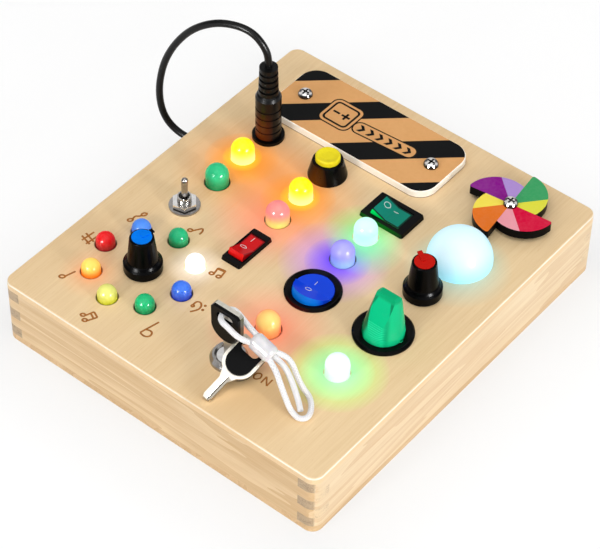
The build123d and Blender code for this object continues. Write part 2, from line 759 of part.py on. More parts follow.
with BuildPart() as battery_contacts:
    for row, y in enumerate(cell_rows):
        for side in (-1, 1):
            facing = 1 - 2 * (row % 2)
            plate_x = COVER_AT[0] + side * (holder_length / 2 - HOLDER_WALL - CONTACT_THICKNESS / 2)
            with Locations((plate_x, y, cell_middle)):
                Box(CONTACT_THICKNESS, CONTACT_WIDTH, CONTACT_WIDTH)
            spring_x = plate_x - side * (CONTACT_THICKNESS / 2 + CONTACT_SPRING_LENGTH / 2)
            width = NIPPLE_DIAMETER if side == facing else CONTACT_SPRING_DIAMETER
            with Locations(Location((spring_x, y, cell_middle), (0, 90, 0))):
                Cylinder(width / 2, CONTACT_SPRING_LENGTH)
save(battery_contacts, "battery_contacts")


# ------------------------------------------------------------------ dials
dial_low = TOP + DIAL_FLOAT
dial_top = dial_low + DIAL_HEIGHT
pot_low = UNDER - POT_DEPTH
shaft_low = pot_low + POT_END_WALL
shaft_top = dial_top - DIAL_CAP_DEPTH - DIAL_WEB
nut_top = TOP + POT_NUT_HEIGHT
pot_places = [LAMP_RING_AT, RED_DIAL_AT]

with BuildPart() as dial_pots:
    for place in pot_places:
        upright(place, POT_DIAMETER, pot_low, UNDER)
        upright(place, POT_BUSHING_DIAMETER, UNDER, TOP + POT_BUSHING_HEIGHT)
        strip_at = (place[0], place[1] - POT_DIAMETER / 2)
        block(strip_at, POT_TERMINAL_STRIP[:2], pot_low, pot_low + POT_TERMINAL_STRIP[2])
        upright(
            place,
            POT_SHAFT_DIAMETER + 2 * RUNNING_CLEARANCE,
            shaft_low - AXIAL_GAP,
            TOP + POT_BUSHING_HEIGHT,
            Mode.SUBTRACT,
        )
save(dial_pots, "dial_pots")

with BuildPart() as dial_nuts:
    for place in pot_places:
        hex_nut(place, POT_NUT_ACROSS, POT_BUSHING_DIAMETER, TOP, nut_top)
save(dial_nuts, "dial_nuts")


def dial_shaft(at):
    """The turning shaft of a dial's potentiometer."""
    with BuildPart() as shaft:
        upright(at, POT_SHAFT_DIAMETER, shaft_low, shaft_top)
    return shaft


def dial(at):
    """A skirted knob, hollow over the nut, with a bore for the shaft."""
    skirt = DIAL_SKIRT_DIAMETER / 2
    body = DIAL_BODY_DIAMETER / 2
    crown = DIAL_TOP_DIAMETER / 2
    cap = DIAL_CAP_DIAMETER / 2
    hollow = POT_NUT_ACROSS / 2 / cos(radians(30)) + PLAY
    hollow_top = TOP + POT_BUSHING_HEIGHT + PLAY
    shoulder = dial_low + DIAL_SKIRT_HEIGHT
    with BuildPart() as knob:
        turned(
            at,
            [
                (hollow, dial_low),
                (skirt, dial_low),
                (skirt, shoulder - DIAL_SKIRT_STEP),
                (skirt - DIAL_SKIRT_STEP, shoulder),
                (body + DIAL_EDGE, shoulder + DIAL_SHOULDER_HEIGHT - DIAL_EDGE),
                (body, shoulder + DIAL_SHOULDER_HEIGHT),
                (crown, dial_top - DIAL_EDGE),
                (crown - DIAL_EDGE, dial_top),
                (cap, dial_top),
                (cap, dial_top - DIAL_CAP_DEPTH),
                (0, dial_top - DIAL_CAP_DEPTH),
                (0, shaft_top),
                (POT_SHAFT_DIAMETER / 2, shaft_top),
                (POT_SHAFT_DIAMETER / 2, hollow_top),
                (hollow, hollow_top),
            ],
        )
    return knob


def dial_cap(at, angle):
    """The coloured disc in the knob's top, with its pointer over the rim."""
    with BuildPart() as disc:
        upright(at, DIAL_CAP_DIAMETER, dial_top - DIAL_CAP_DEPTH, dial_top + DIAL_CAP_PROUD)
        middle = POINTER_REACH / 2
        pointer_at = (at[0] + middle * cos(radians(angle)), at[1] + middle * sin(radians(angle)))
        block(pointer_at, (POINTER_REACH, POINTER_WIDTH), dial_top, dial_top + POINTER_HEIGHT, angle)
    return disc


save(dial_shaft(LAMP_RING_AT), "blue_dial_shaft")
save(dial(LAMP_RING_AT), "blue_dial")
save(dial_cap(LAMP_RING_AT, BLUE_POINTER_ANGLE), "blue_dial_cap")
save(dial_shaft(RED_DIAL_AT), "red_dial_shaft")
save(dial(RED_DIAL_AT), "red_dial")
save(dial_cap(RED_DIAL_AT, RED_POINTER_ANGLE), "red_dial_cap")


# ------------------------------------------------------------------ toggle switch
toggle_bore = TOGGLE_BALL_DIAMETER + 2 * RUNNING_CLEARANCE
toggle_pivot = TOP + TOGGLE_PIVOT_HEIGHT
bushing_top = TOP + TOGGLE_BUSHING_HEIGHT
toggle_stub_end = toggle_pivot - TOGGLE_STUB_LENGTH - PLAY
with BuildPart() as toggle_body:
    block(TOGGLE_AT, TOGGLE_BODY[:2], UNDER - TOGGLE_BODY[2], UNDER, TOGGLE_HEADING)
    upright(TOGGLE_AT, TOGGLE_BUSHING_DIAMETER, UNDER, bushing_top)
    upright(TOGGLE_AT, toggle_bore, toggle_stub_end, bushing_top, Mode.SUBTRACT)
    for step in (-1, 0, 1):
        heading = radians(TOGGLE_HEADING)
        reach = step * TOGGLE_BODY[0] * TOGGLE_TERMINAL_SHARE
        terminal_at = (TOGGLE_AT[0] + reach * cos(heading), TOGGLE_AT[1] + reach * sin(heading))
        terminal_top = UNDER - TOGGLE_BODY[2]
        terminal_low = terminal_top - TOGGLE_TERMINAL[2]
        block(terminal_at, TOGGLE_TERMINAL[:2], terminal_low, terminal_top, TOGGLE_HEADING)
save(toggle_body, "toggle_body")

washer_top = TOP + TOGGLE_WASHER_THICKNESS
with BuildPart() as toggle_washer:
    upright(TOGGLE_AT, TOGGLE_WASHER_DIAMETER, TOP, washer_top)
    washer_bore = TOGGLE_BUSHING_DIAMETER + 2 * RUNNING_CLEARANCE
    upright(TOGGLE_AT, washer_bore, TOP, washer_top, Mode.SUBTRACT)
save(toggle_washer, "toggle_washer")

with BuildPart() as toggle_nut:
    nut_high = washer_top + TOGGLE_NUT_HEIGHT
    hex_nut(TOGGLE_AT, TOGGLE_NUT_ACROSS, TOGGLE_BUSHING_DIAMETER, washer_top, nut_high, TOGGLE_NUT_TURN)
save(toggle_nut, "toggle_nut")

toggle_frame = Plane(
    origin=(*TOGGLE_AT, toggle_pivot),
    x_dir=(-sin(radians(TOGGLE_HEADING)), cos(radians(TOGGLE_HEADING)), 0),
    z_dir=(
        sin(radians(TOGGLE_TILT)) * cos(radians(TOGGLE_HEADING)),
        sin(radians(TOGGLE_TILT)) * sin(radians(TOGGLE_HEADING)),
        cos(radians(TOGGLE_TILT)),
    ),
)
with BuildPart(toggle_frame) as toggle_lever:
    Sphere(TOGGLE_BALL_DIAMETER / 2)
    Cone(
        TOGGLE_LEVER_NECK / 2,
        TOGGLE_LEVER_TIP / 2,
        TOGGLE_LEVER_LENGTH - TOGGLE_LEVER_TIP / 2,
        align=BASE,
    )
    with Locations((0, 0, TOGGLE_LEVER_LENGTH - TOGGLE_LEVER_TIP / 2)):
        Sphere(TOGGLE_LEVER_TIP / 2, arc_size1=0, align=BASE)
    with Locations((0, 0, -TOGGLE_STUB_LENGTH)):
        Cylinder(TOGGLE_STUB_DIAMETER / 2, TOGGLE_STUB_LENGTH, align=BASE)
save(toggle_lever, "toggle_lever")


# ------------------------------------------------------------------ rocker switches
def switch_frame(at, height, turn, tilt=0.0):
    """A frame at a switch's pivot: x along the pivot, y towards the end that is pressed."""
    heading = radians(turn)
    lean = radians(tilt)
    return Plane(
        origin=(at[0], at[1], height),
        x_dir=(cos(heading), sin(heading), 0),
        z_dir=(-sin(heading) * sin(lean), cos(heading) * sin(lean), cos(lean)),
    )


def pivot_height(bezel_height):
    """The height of a rocker's pivot, so that its pressed half lies just under the bezel."""
    return TOP + bezel_height - ROCKER_SINK - ROCKER_MIDDLE * cos(radians(ROCKER_TILT))


def trim_rocker(frame, radius):
    """Cut a rocker's two-sided top and its flat underside, in the pivot's own frame."""
    slope = tan(radians(ROCKER_TILT))
    reach = 2 * radius
    with BuildSketch(local_plane(frame, Plane.YZ.offset(-reach))) as above:
        with BuildLine():
            Polyline(
                (-reach, ROCKER_MIDDLE + reach * slope),
                (0, ROCKER_MIDDLE),
                (reach, ROCKER_MIDDLE + reach * slope),
                (reach, reach),
                (-reach, reach),
                close=True,
            )
        make_face()
    extrude(above.sketch, amount=2 * reach, mode=Mode.SUBTRACT)
    with BuildSketch(local_plane(frame, Plane.XY.offset(-ROCKER_DROP))) as below:
        Rectangle(2 * reach, 2 * reach)
    extrude(below.sketch, amount=-reach, mode=Mode.SUBTRACT)


def pivot_pin(frame, reach, diameter, mode=Mode.ADD):
    """A pin along the pivot, or the hole for it."""
    with BuildSketch(local_plane(frame, Plane.YZ.offset(-reach))) as section:
        Circle(diameter / 2)
    extrude(section.sketch, amount=2 * reach, mode=mode)


def long_rocker(at, bezel_height, width, radius, turn):
    """A rocker of one width, tilted with its far half pressed."""
    frame = switch_frame(at, pivot_height(bezel_height), turn, ROCKER_TILT)
    with BuildPart() as rocker:
        with BuildSketch(local_plane(frame, Plane.YZ.offset(-width / 2))) as section:
            Circle(radius)
        extrude(section.sketch, amount=width)
        trim_rocker(frame, radius)
        pivot_pin(frame, width / 2 + ROCKER_PIN_REACH, ROCKER_PIN_DIAMETER)
    return rocker


def round_rocker(at, bezel_height, radius, turn):
    """A round rocker, cut from a ball so that it turns inside its round bezel."""
    frame = switch_frame(at, pivot_height(bezel_height), turn, ROCKER_TILT)
    with BuildPart() as rocker:
        with Locations((*at, pivot_height(bezel_height))):
            Sphere(radius)
        trim_rocker(frame, radius)
        pivot_pin(frame, radius + ROCKER_PIN_REACH, ROCKER_PIN_DIAMETER)
    return rocker


def terminals(at, turn, length):
    """Three blades under a switch housing."""
    for step in (-1, 0, 1):
        offset = step * length
        place = (at[0] - offset * sin(radians(turn)), at[1] + offset * cos(radians(turn)))
        housing_low = TOP - HOUSING_DEPTH
        block(place, TERMINAL[:2], housing_low - TERMINAL[2], housing_low, turn)


def long_housing(at, bezel, width, radius, turn):
    """A rectangular switch housing with its bezel on the panel."""
    pivot = pivot_height(bezel[2])
    with BuildPart() as housing:
        block(at, [size - 2 * HOUSING_LIP for size in bezel[:2]], TOP - HOUSING_DEPTH, TOP, turn)
        with BuildSketch(Plane.XY.offset(TOP)) as rim:
            with Locations(Location((*at, 0), (0, 0, turn))):
                RectangleRounded(bezel[0], bezel[1], BEZEL_CORNER)
        extrude(rim.sketch, amount=bezel[2], taper=BEZEL_TAPER)
        opening = (width + 2 * PLAY, 2 * (radius + PLAY))
        block(at, opening, pivot - radius, TOP + bezel[2], turn, Mode.SUBTRACT)
        frame = switch_frame(at, pivot, turn)
        pin_hole = ROCKER_PIN_DIAMETER + 2 * RUNNING_CLEARANCE
        pivot_pin(frame, width / 2 + ROCKER_PIN_REACH + RUNNING_CLEARANCE, pin_hole, Mode.SUBTRACT)
        terminals(at, turn, bezel[1] * TERMINAL_SHARE)
    return housing


def round_housing(at, bezel_diameter, bezel_height, radius, pivot, turn, pin):
    """A round switch housing whose bezel is dished towards the opening."""
    bore = radius + PLAY
    rim = bezel_diameter / 2
    with BuildPart() as housing:
        upright(at, ROUND_HOUSING_DIAMETER, TOP - HOUSING_DEPTH, TOP)
        turned(
            at,
            [
                (0, TOP),
                (rim, TOP),
                (rim, TOP + bezel_height - BEZEL_BEVEL),
                (rim - BEZEL_BEVEL, TOP + bezel_height),
                (rim - BEZEL_LAND, TOP + bezel_height),
                (bore, TOP + bezel_height - BEZEL_DISH),
                (0, TOP + bezel_height - BEZEL_DISH),
            ],
        )
        upright(at, 2 * bore, pivot - radius, TOP + bezel_height, Mode.SUBTRACT)
        frame = switch_frame(at, pivot, turn)
        pin_hole = pin + 2 * RUNNING_CLEARANCE
        pivot_pin(frame, radius + ROCKER_PIN_REACH + RUNNING_CLEARANCE, pin_hole, Mode.SUBTRACT)
        terminals(at, turn, ROUND_HOUSING_DIAMETER * TERMINAL_SHARE)
    return housing


save(long_housing(RED_ROCKER_AT, RED_BEZEL, RED_ROCKER_WIDTH, RED_ROCKER_RADIUS, 0.0), "red_rocker_housing")
save(long_rocker(RED_ROCKER_AT, RED_BEZEL[2], RED_ROCKER_WIDTH, RED_ROCKER_RADIUS, 0.0), "red_rocker")
save(
    long_housing(GREEN_ROCKER_AT, GREEN_BEZEL, GREEN_ROCKER_WIDTH, GREEN_ROCKER_RADIUS, -90.0),
    "green_rocker_housing",
)
save(
    long_rocker(GREEN_ROCKER_AT, GREEN_BEZEL[2], GREEN_ROCKER_WIDTH, GREEN_ROCKER_RADIUS, -90.0),
    "green_rocker",
)
blue_pivot = pivot_height(BLUE_BEZEL_HEIGHT)
save(
    round_housing(
        BLUE_ROCKER_AT,
        BLUE_BEZEL_DIAMETER,
        BLUE_BEZEL_HEIGHT,
        BLUE_ROCKER_RADIUS,
        blue_pivot,
        0.0,
        ROCKER_PIN_DIAMETER,
    ),
    "blue_rocker_housing",
)
save(round_rocker(BLUE_ROCKER_AT, BLUE_BEZEL_HEIGHT, BLUE_ROCKER_RADIUS, 0.0), "blue_rocker")


# ------------------------------------------------------------------ paddle switch
paddle_pivot = TOP + PADDLE_PIVOT_HEIGHT
save(
    round_housing(
        PADDLE_AT,
        PADDLE_BEZEL_DIAMETER,
        PADDLE_BEZEL_HEIGHT,
        PADDLE_RADIUS,
        paddle_pivot,
        0.0,
        ROCKER_PIN_DIAMETER,
    ),
    "paddle_housing",
)

paddle_frame = switch_frame(PADDLE_AT, paddle_pivot, 0.0, PADDLE_TILT)


def paddle_side(plane, ridge, edge_out):
    """Keep what lies within one side view of the paddle, narrowing from foot to ridge."""
    right_side = [
        (PADDLE_RADIUS, 0),
        (PADDLE_RADIUS, PADDLE_FOOT_HEIGHT),
        (ridge / 2 + edge_out, PADDLE_HEIGHT - PADDLE_EDGE_HEIGHT),
        (ridge / 2, PADDLE_HEIGHT),
    ]
    left_side = [(-across, height) for across, height in reversed(right_side)]
    with BuildSketch(local_plane(paddle_frame, plane.offset(-2 * PADDLE_RADIUS))) as side:
        with BuildLine():
            Polyline(*right_side, *left_side, close=True)
        make_face()
    extrude(side.sketch, amount=4 * PADDLE_RADIUS, mode=Mode.INTERSECT)


with BuildPart() as paddle:
    with Locations(paddle_frame.location):
        Cylinder(PADDLE_RADIUS, PADDLE_FOOT_HEIGHT, align=BASE)
    with Locations(paddle_frame.location * Location((0, 0, PADDLE_FOOT_HEIGHT))):
        Cone(PADDLE_RADIUS, PADDLE_TOP_RADIUS, PADDLE_HEIGHT - PADDLE_FOOT_HEIGHT, align=BASE)
    paddle_side(Plane.XZ, PADDLE_RIDGE_WIDTH, PADDLE_END_EDGE)
    paddle_side(Plane.YZ, PADDLE_RIDGE_THICKNESS, PADDLE_FACE_EDGE)
    with Locations(paddle_frame.location):
        Sphere(PADDLE_RADIUS, arc_size1=-90, arc_size2=0, align=HANGING)
    with BuildSketch(local_plane(paddle_frame, Plane.XY.offset(-ROCKER_DROP))) as below_paddle:
        Circle(2 * PADDLE_RADIUS)
    extrude(below_paddle.sketch, amount=-PADDLE_RADIUS, mode=Mode.SUBTRACT)
    pivot_pin(paddle_frame, PADDLE_RADIUS + ROCKER_PIN_REACH, ROCKER_PIN_DIAMETER)
save(paddle, "paddle")


# ------------------------------------------------------------------ push button
button_top = TOP + BUTTON_HEIGHT
button_bore = BUTTON_CAP_DIAMETER / 2 + RUNNING_CLEARANCE
cap_top = button_top + BUTTON_CAP_PROUD
cap_low = cap_top - BUTTON_CAP_DEPTH
well_floor = UNDER - BUTTON_WELL_DEPTH
with BuildPart() as button_housing:
    base = BUTTON_BASE_DIAMETER / 2
    rim = BUTTON_RIM_DIAMETER / 2
    turned(
        BUTTON_AT,
        [
            (0, TOP),
            (base, TOP),
            (base, TOP + BUTTON_FOOT_HEIGHT),
            (rim, button_top - BUTTON_EDGE),
            (rim - BUTTON_EDGE, button_top),
            (0, button_top),
        ],
    )
    upright(BUTTON_AT, BUTTON_THREAD_DIAMETER, TOP - BUTTON_THREAD_DEPTH, TOP)
    upright(BUTTON_AT, 2 * button_bore, well_floor, button_top, Mode.SUBTRACT)
    upright(
        BUTTON_AT,
        BUTTON_STEM_DIAMETER + 2 * RUNNING_CLEARANCE,
        TOP - BUTTON_THREAD_DEPTH + BUTTON_END_WALL,
        well_floor,
        Mode.SUBTRACT,
    )
save(button_housing, "button_housing")

with BuildPart() as button_cap:
    cap_radius = BUTTON_CAP_DIAMETER / 2
    stem = BUTTON_STEM_DIAMETER / 2
    turned(
        BUTTON_AT,
        [
            (0, well_floor - BUTTON_STEM_LENGTH),
            (stem, well_floor - BUTTON_STEM_LENGTH),
            (stem, cap_low),
            (cap_radius, cap_low),
            (cap_radius, cap_top - BUTTON_CAP_EDGE),
            (cap_radius - BUTTON_CAP_EDGE, cap_top),
            (cap_radius - 2 * BUTTON_CAP_EDGE, cap_top),
            (cap_radius / 2, cap_top - BUTTON_DISH),
            (0, cap_top - BUTTON_DISH),
        ],
    )
save(button_cap, "button_cap")

with BuildPart() as button_spring:
    upright(BUTTON_AT, SPRING_OUTER_DIAMETER, well_floor, cap_low)
    upright(BUTTON_AT, SPRING_INNER_DIAMETER, well_floor, cap_low, Mode.SUBTRACT)
save(button_spring, "button_spring")

with BuildPart() as button_nut:
    hex_nut(BUTTON_AT, BUTTON_NUT_ACROSS, BUTTON_THREAD_DIAMETER, UNDER - BUTTON_NUT_HEIGHT, UNDER)
save(button_nut, "button_nut")


# ------------------------------------------------------------------ pinwheel
wheel_low = TOP + PINWHEEL_SPACER_HEIGHT + AXIAL_GAP
wheel_top = wheel_low + PINWHEEL_THICKNESS


def pinwheel_point(radius, angle):
    """A point of the wheel's outline, by radius and angle."""
    return (radius * cos(radians(angle)), radius * sin(radians(angle)))


with BuildPart() as pinwheel:
    with BuildSketch(Plane(origin=(*PINWHEEL_AT, wheel_low))) as outline:
        for blade in range(PINWHEEL_BLADES):
            step = 360 / PINWHEEL_BLADES
            tip_angle = PINWHEEL_FIRST_TIP + blade * step
            tip = pinwheel_point(PINWHEEL_TIP_RADIUS, tip_angle)
            middle = pinwheel_point(PINWHEEL_MIDDLE_RADIUS, tip_angle - PINWHEEL_MIDDLE_SHARE * step)
            heel = pinwheel_point(PINWHEEL_HEEL_RADIUS, tip_angle - step)
            with BuildLine():
                Line((0, 0), tip)
                ThreePointArc(tip, middle, heel)
                Line(heel, (0, 0))
            make_face()
        tips = outline.vertices().group_by(lambda corner: round(corner.center().length, 2))[-1]
        fillet(tips, PINWHEEL_TIP_ROUND)
    extrude(amount=PINWHEEL_THICKNESS)
    upright(
        PINWHEEL_AT,
        PINWHEEL_SCREW_DIAMETER + 2 * RUNNING_CLEARANCE,
        wheel_low,
        wheel_top,
        Mode.SUBTRACT,
    )
save(pinwheel, "pinwheel")

with BuildPart() as pinwheel_spacer:
    upright(PINWHEEL_AT, PINWHEEL_SPACER_DIAMETER, TOP, TOP + PINWHEEL_SPACER_HEIGHT)
    upright(
        PINWHEEL_AT,
        PINWHEEL_SCREW_DIAMETER + 2 * RUNNING_CLEARANCE,
        TOP,
        TOP + PINWHEEL_SPACER_HEIGHT,
        Mode.SUBTRACT,
    )
save(pinwheel_spacer, "pinwheel_spacer")

with BuildPart() as pinwheel_screw:
    pan_head_screw(
        PINWHEEL_AT,
        PINWHEEL_SCREW_DIAMETER,
        PINWHEEL_SCREW_HEAD,
        PINWHEEL_SCREW_HEAD_HEIGHT,
        wheel_top + AXIAL_GAP,
        UNDER - PINWHEEL_NUT_HEIGHT - PINWHEEL_SCREW_SPARE,
        0.0,
    )
save(pinwheel_screw, "pinwheel_screw")

with BuildPart() as pinwheel_nut:
    hex_nut(PINWHEEL_AT, PINWHEEL_NUT_ACROSS, PINWHEEL_SCREW_DIAMETER, UNDER - PINWHEEL_NUT_HEIGHT, UNDER)
save(pinwheel_nut, "pinwheel_nut")


# ------------------------------------------------------------------ key switch and keys
flange_top = TOP + LOCK_FLANGE_HEIGHT
rotor_top = flange_top - LOCK_ROTOR_SINK
rotor_low = TOP - LOCK_BODY_DEPTH + LOCK_END_WALL
rotor_bore = LOCK_ROTOR_DIAMETER + 2 * RUNNING_CLEARANCE
with BuildPart() as lock_barrel:
    flange = LOCK_FLANGE_DIAMETER / 2
    turned(
        LOCK_AT,
        [
            (0, TOP),
            (flange, TOP),
            (flange, flange_top - LOCK_BEVEL_HEIGHT),
            (flange - LOCK_BEVEL_WIDTH, flange_top),
            (flange - LOCK_LAND, flange_top),
            (rotor_bore / 2, flange_top - LOCK_FACE_SINK),
            (0, flange_top - LOCK_FACE_SINK),
        ],
    )
    upright(LOCK_AT, LOCK_BODY_DIAMETER, TOP - LOCK_BODY_DEPTH, TOP)
    upright(LOCK_AT, rotor_bore, rotor_low - AXIAL_GAP, flange_top, Mode.SUBTRACT)
save(lock_barrel, "lock_barrel")

with BuildPart() as lock_nut:
    hex_nut(LOCK_AT, LOCK_NUT_ACROSS, LOCK_BODY_DIAMETER, UNDER - LOCK_NUT_HEIGHT, UNDER)
save(lock_nut, "lock_nut")

key_tip = flange_top - KEY_INSERTED
with BuildPart() as lock_rotor:
    upright(LOCK_AT, LOCK_ROTOR_DIAMETER, rotor_low, rotor_top)
    keyway = (KEY_BLADE_WIDTH + 2 * KEY_FIT, KEY_BLADE_THICKNESS + 2 * KEY_FIT)
    block(LOCK_AT, keyway, key_tip - PLAY, rotor_top, mode=Mode.SUBTRACT)
save(lock_rotor, "lock_rotor")

key_length = KEY_BLADE_LENGTH + KEY_HEAD_LENGTH
turning_key = Plane(origin=(*LOCK_AT, key_tip), x_dir=(-1, 0, 0), z_dir=(0, 1, 0))
spare_key_tip = tuple(place + offset for place, offset in zip((*LOCK_AT, TOP), SPARE_KEY_TIP))
spare_key = Plane(origin=spare_key_tip, x_dir=SPARE_KEY_ACROSS, z_dir=SPARE_KEY_FACE)


def key_head(frame, low, high, rim, mode=Mode.ADD):
    """A slice of a key's head: round next to the blade, cut corners at the far end."""
    half = KEY_HEAD_WIDTH / 2 - rim
    centre = KEY_BLADE_LENGTH + KEY_HEAD_WIDTH / 2
    end = key_length - rim
    cut = KEY_CORNER_CUT
    with BuildSketch(local_plane(frame, Plane.XY.offset(low))) as outline:
        with Locations((0, centre)):
            Circle(half)
        with BuildLine():
            Polyline(
                (-half, centre),
                (half, centre),
                (half, end - cut),
                (half - cut, end),
                (cut - half, end),
                (-half, end - cut),
                close=True,
            )
        make_face()
        with Locations((0, key_length - KEY_SLOT_FROM_TOP)):
            SlotOverall(KEY_SLOT_LENGTH, KEY_SLOT_WIDTH, mode=Mode.SUBTRACT)
    extrude(outline.sketch, amount=high - low, mode=mode)


def key_blade(frame):
    """A key's metal: its blade, neck and the plate inside its head."""
    half = KEY_BLADE_THICKNESS / 2
    edge = KEY_BLADE_WIDTH / 2
    key_head(frame, -half, half, 0.0)
    with BuildSketch(local_plane(frame, Plane.XY.offset(-half))) as shank:
        with BuildLine():
            Polyline(
                (-edge, KEY_TIP_CUT[1]),
                (KEY_TIP_CUT[0] - edge, 0),
                (edge - KEY_TIP_CUT[0], 0),
                (edge, KEY_TIP_CUT[1]),
                (edge, KEY_BLADE_LENGTH - KEY_NECK_LENGTH),
                (KEY_SHOULDER[0], KEY_BLADE_LENGTH + KEY_SHOULDER[1]),
                (-KEY_SHOULDER[0], KEY_BLADE_LENGTH + KEY_SHOULDER[1]),
                (-edge, KEY_BLADE_LENGTH - KEY_NECK_LENGTH),
                close=True,
            )
        make_face()
    extrude(shank.sketch, amount=KEY_BLADE_THICKNESS)


with BuildPart() as key_blades:
    for frame in (turning_key, spare_key):
        key_blade(frame)
save(key_blades, "key_blades")

with BuildPart() as key_grips:
    for frame in (turning_key, spare_key):
        half = KEY_BLADE_THICKNESS / 2
        key_head(frame, -half - KEY_COVER_THICKNESS, -half, 0.0)
        key_head(frame, half, half + KEY_INSERT_THICKNESS, KEY_RIM)
save(key_grips, "key_grips")


# ------------------------------------------------------------------ lanyard
bead_axis = Vector(*BEAD_END) - Vector(*BEAD_START)
with BuildPart() as lanyard_bead:
    with BuildSketch(Plane(origin=BEAD_START, z_dir=bead_axis)) as bead_end:
        Circle(BEAD_DIAMETER / 2)
    extrude(bead_end.sketch, amount=bead_axis.length)
    fillet(lanyard_bead.edges().filter_by(GeomType.CIRCLE), BEAD_ROUND)
save(lanyard_bead, "lanyard_bead")

with BuildPart() as lanyard_key_loop:
    key_loop_length = tube(KEY_LOOP_ROUTE, CORD_DIAMETER)
save(lanyard_key_loop, "lanyard_key_loop")
report_route(
    "lanyard_key_loop", KEY_LOOP_ROUTE, key_loop_length, lanyard_key_loop.part.volume, CORD_DIAMETER
)

with BuildPart() as lanyard_long_loop:
    long_loop_length = tube(LONG_LOOP_ROUTE, CORD_DIAMETER)
save(lanyard_long_loop, "lanyard_long_loop")
report_route(
    "lanyard_long_loop", LONG_LOOP_ROUTE, long_loop_length, lanyard_long_loop.part.volume, CORD_DIAMETER
)

with BuildPart() as lanyard_loose_end:
    loose_end_length = tube(LOOSE_END_ROUTE, CORD_DIAMETER)
save(lanyard_loose_end, "lanyard_loose_end")
report_route(
    "lanyard_loose_end", LOOSE_END_ROUTE, loose_end_length, lanyard_loose_end.part.volume, CORD_DIAMETER
)


# ------------------------------------------------------------------ power jack, plug and lead
jack_top = TOP + JACK_FLANGE_HEIGHT
plug_top = TOP + PLUG_TOP
with BuildPart() as power_jack:
    upright(JACK_AT, JACK_FLANGE_DIAMETER, TOP, jack_top)
    upright(JACK_AT, JACK_BODY_DIAMETER, TOP - JACK_BODY_DEPTH, TOP)
    upright(JACK_AT, JACK_BORE_DIAMETER, TOP - JACK_BODY_DEPTH + JACK_END_WALL, jack_top, Mode.SUBTRACT)
save(power_jack, "power_jack")

with BuildPart() as jack_nut:
    hex_nut(JACK_AT, JACK_NUT_ACROSS, JACK_BODY_DIAMETER, UNDER - JACK_NUT_HEIGHT, UNDER)
save(jack_nut, "jack_nut")

with BuildPart() as power_plug:
    plug = PLUG_DIAMETER / 2
    relief = RELIEF_DIAMETER / 2
    upright(JACK_AT, PLUG_PIN_DIAMETER, jack_top - PLUG_PIN_LENGTH, jack_top)
    turned(
        JACK_AT,
        [
            (0, jack_top),
            (plug - PLUG_EDGE, jack_top),
            (plug, jack_top + PLUG_EDGE),
            (plug, plug_top - PLUG_SHOULDER),
            (plug - PLUG_SHOULDER_STEP, plug_top - PLUG_SHOULDER_STEP),
            (relief, plug_top),
            (0, plug_top),
        ],
    )
    for groove in range(PLUG_GROOVE_COUNT):
        low = jack_top + (groove + 1) * PLUG_GROOVE_PITCH
        turned(
            JACK_AT,
            [
                (plug - PLUG_GROOVE_DEPTH, low),
                (plug + CUTTER_MARGIN, low),
                (plug + CUTTER_MARGIN, low + PLUG_GROOVE_WIDTH),
                (plug - PLUG_GROOVE_DEPTH, low + PLUG_GROOVE_WIDTH),
            ],
            Mode.SUBTRACT,
        )
save(power_plug, "power_plug")

relief_top = plug_top + RELIEF_HEIGHT
with BuildPart() as plug_strain_relief:
    tip = RELIEF_TIP_DIAMETER / 2
    turned(
        JACK_AT,
        [(0, plug_top), (relief, plug_top), (tip, relief_top), (0, relief_top)],
    )
    pitch = RELIEF_HEIGHT / (RELIEF_RIB_COUNT + RELIEF_SPARE_PITCHES)
    for rib in range(RELIEF_RIB_COUNT):
        low = plug_top + (rib + RELIEF_FIRST_GROOVE) * pitch
        turned(
            JACK_AT,
            [
                (tip - RELIEF_RIB_DEPTH, low),
                (relief + CUTTER_MARGIN, low),
                (relief + CUTTER_MARGIN, low + pitch * RELIEF_GROOVE_SHARE),
                (tip - RELIEF_RIB_DEPTH, low + pitch * RELIEF_GROOVE_SHARE),
            ],
            Mode.SUBTRACT,
        )
    upright(
        JACK_AT,
        LEAD_DIAMETER + 2 * RUNNING_CLEARANCE,
        LEAD_ROUTE[0][2],
        relief_top,
        Mode.SUBTRACT,
    )
save(plug_strain_relief, "plug_strain_relief")

with BuildPart() as power_lead:
    lead_length = tube(LEAD_ROUTE, LEAD_DIAMETER)
save(power_lead, "power_lead")
report_route("power_lead", LEAD_ROUTE, lead_length, power_lead.part.volume, LEAD_DIAMETER)

with BuildPart() as lead_grommet:
    entry = Plane(
        origin=(-BOARD_WIDTH / 2 - GROMMET_FLANGE_THICKNESS, LEAD_ENTRY_Y, LEAD_ENTRY_Z),
        x_dir=(0, 1, 0),
        z_dir=(1, 0, 0),
    )
    with BuildSketch(entry) as flange_outline:
        Circle(GROMMET_FLANGE_DIAMETER / 2)
    extrude(flange_outline.sketch, amount=GROMMET_FLANGE_THICKNESS)
    with BuildSketch(entry) as neck_outline:
        Circle(GROMMET_NECK_DIAMETER / 2)
    extrude(neck_outline.sketch, amount=GROMMET_FLANGE_THICKNESS + WALL_THICKNESS)
    with BuildSketch(entry) as bore_outline:
        Circle(LEAD_DIAMETER / 2 + PLAY)
    extrude(bore_outline.sketch, amount=GROMMET_FLANGE_THICKNESS + WALL_THICKNESS, mode=Mode.SUBTRACT)
save(lead_grommet, "lead_grommet")
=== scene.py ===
"""Finishes, small fittings and studio for the wooden busy board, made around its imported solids."""

import math

import bmesh
import bpy
from mathutils import Matrix, Vector
from mathutils.bvhtree import BVHTree


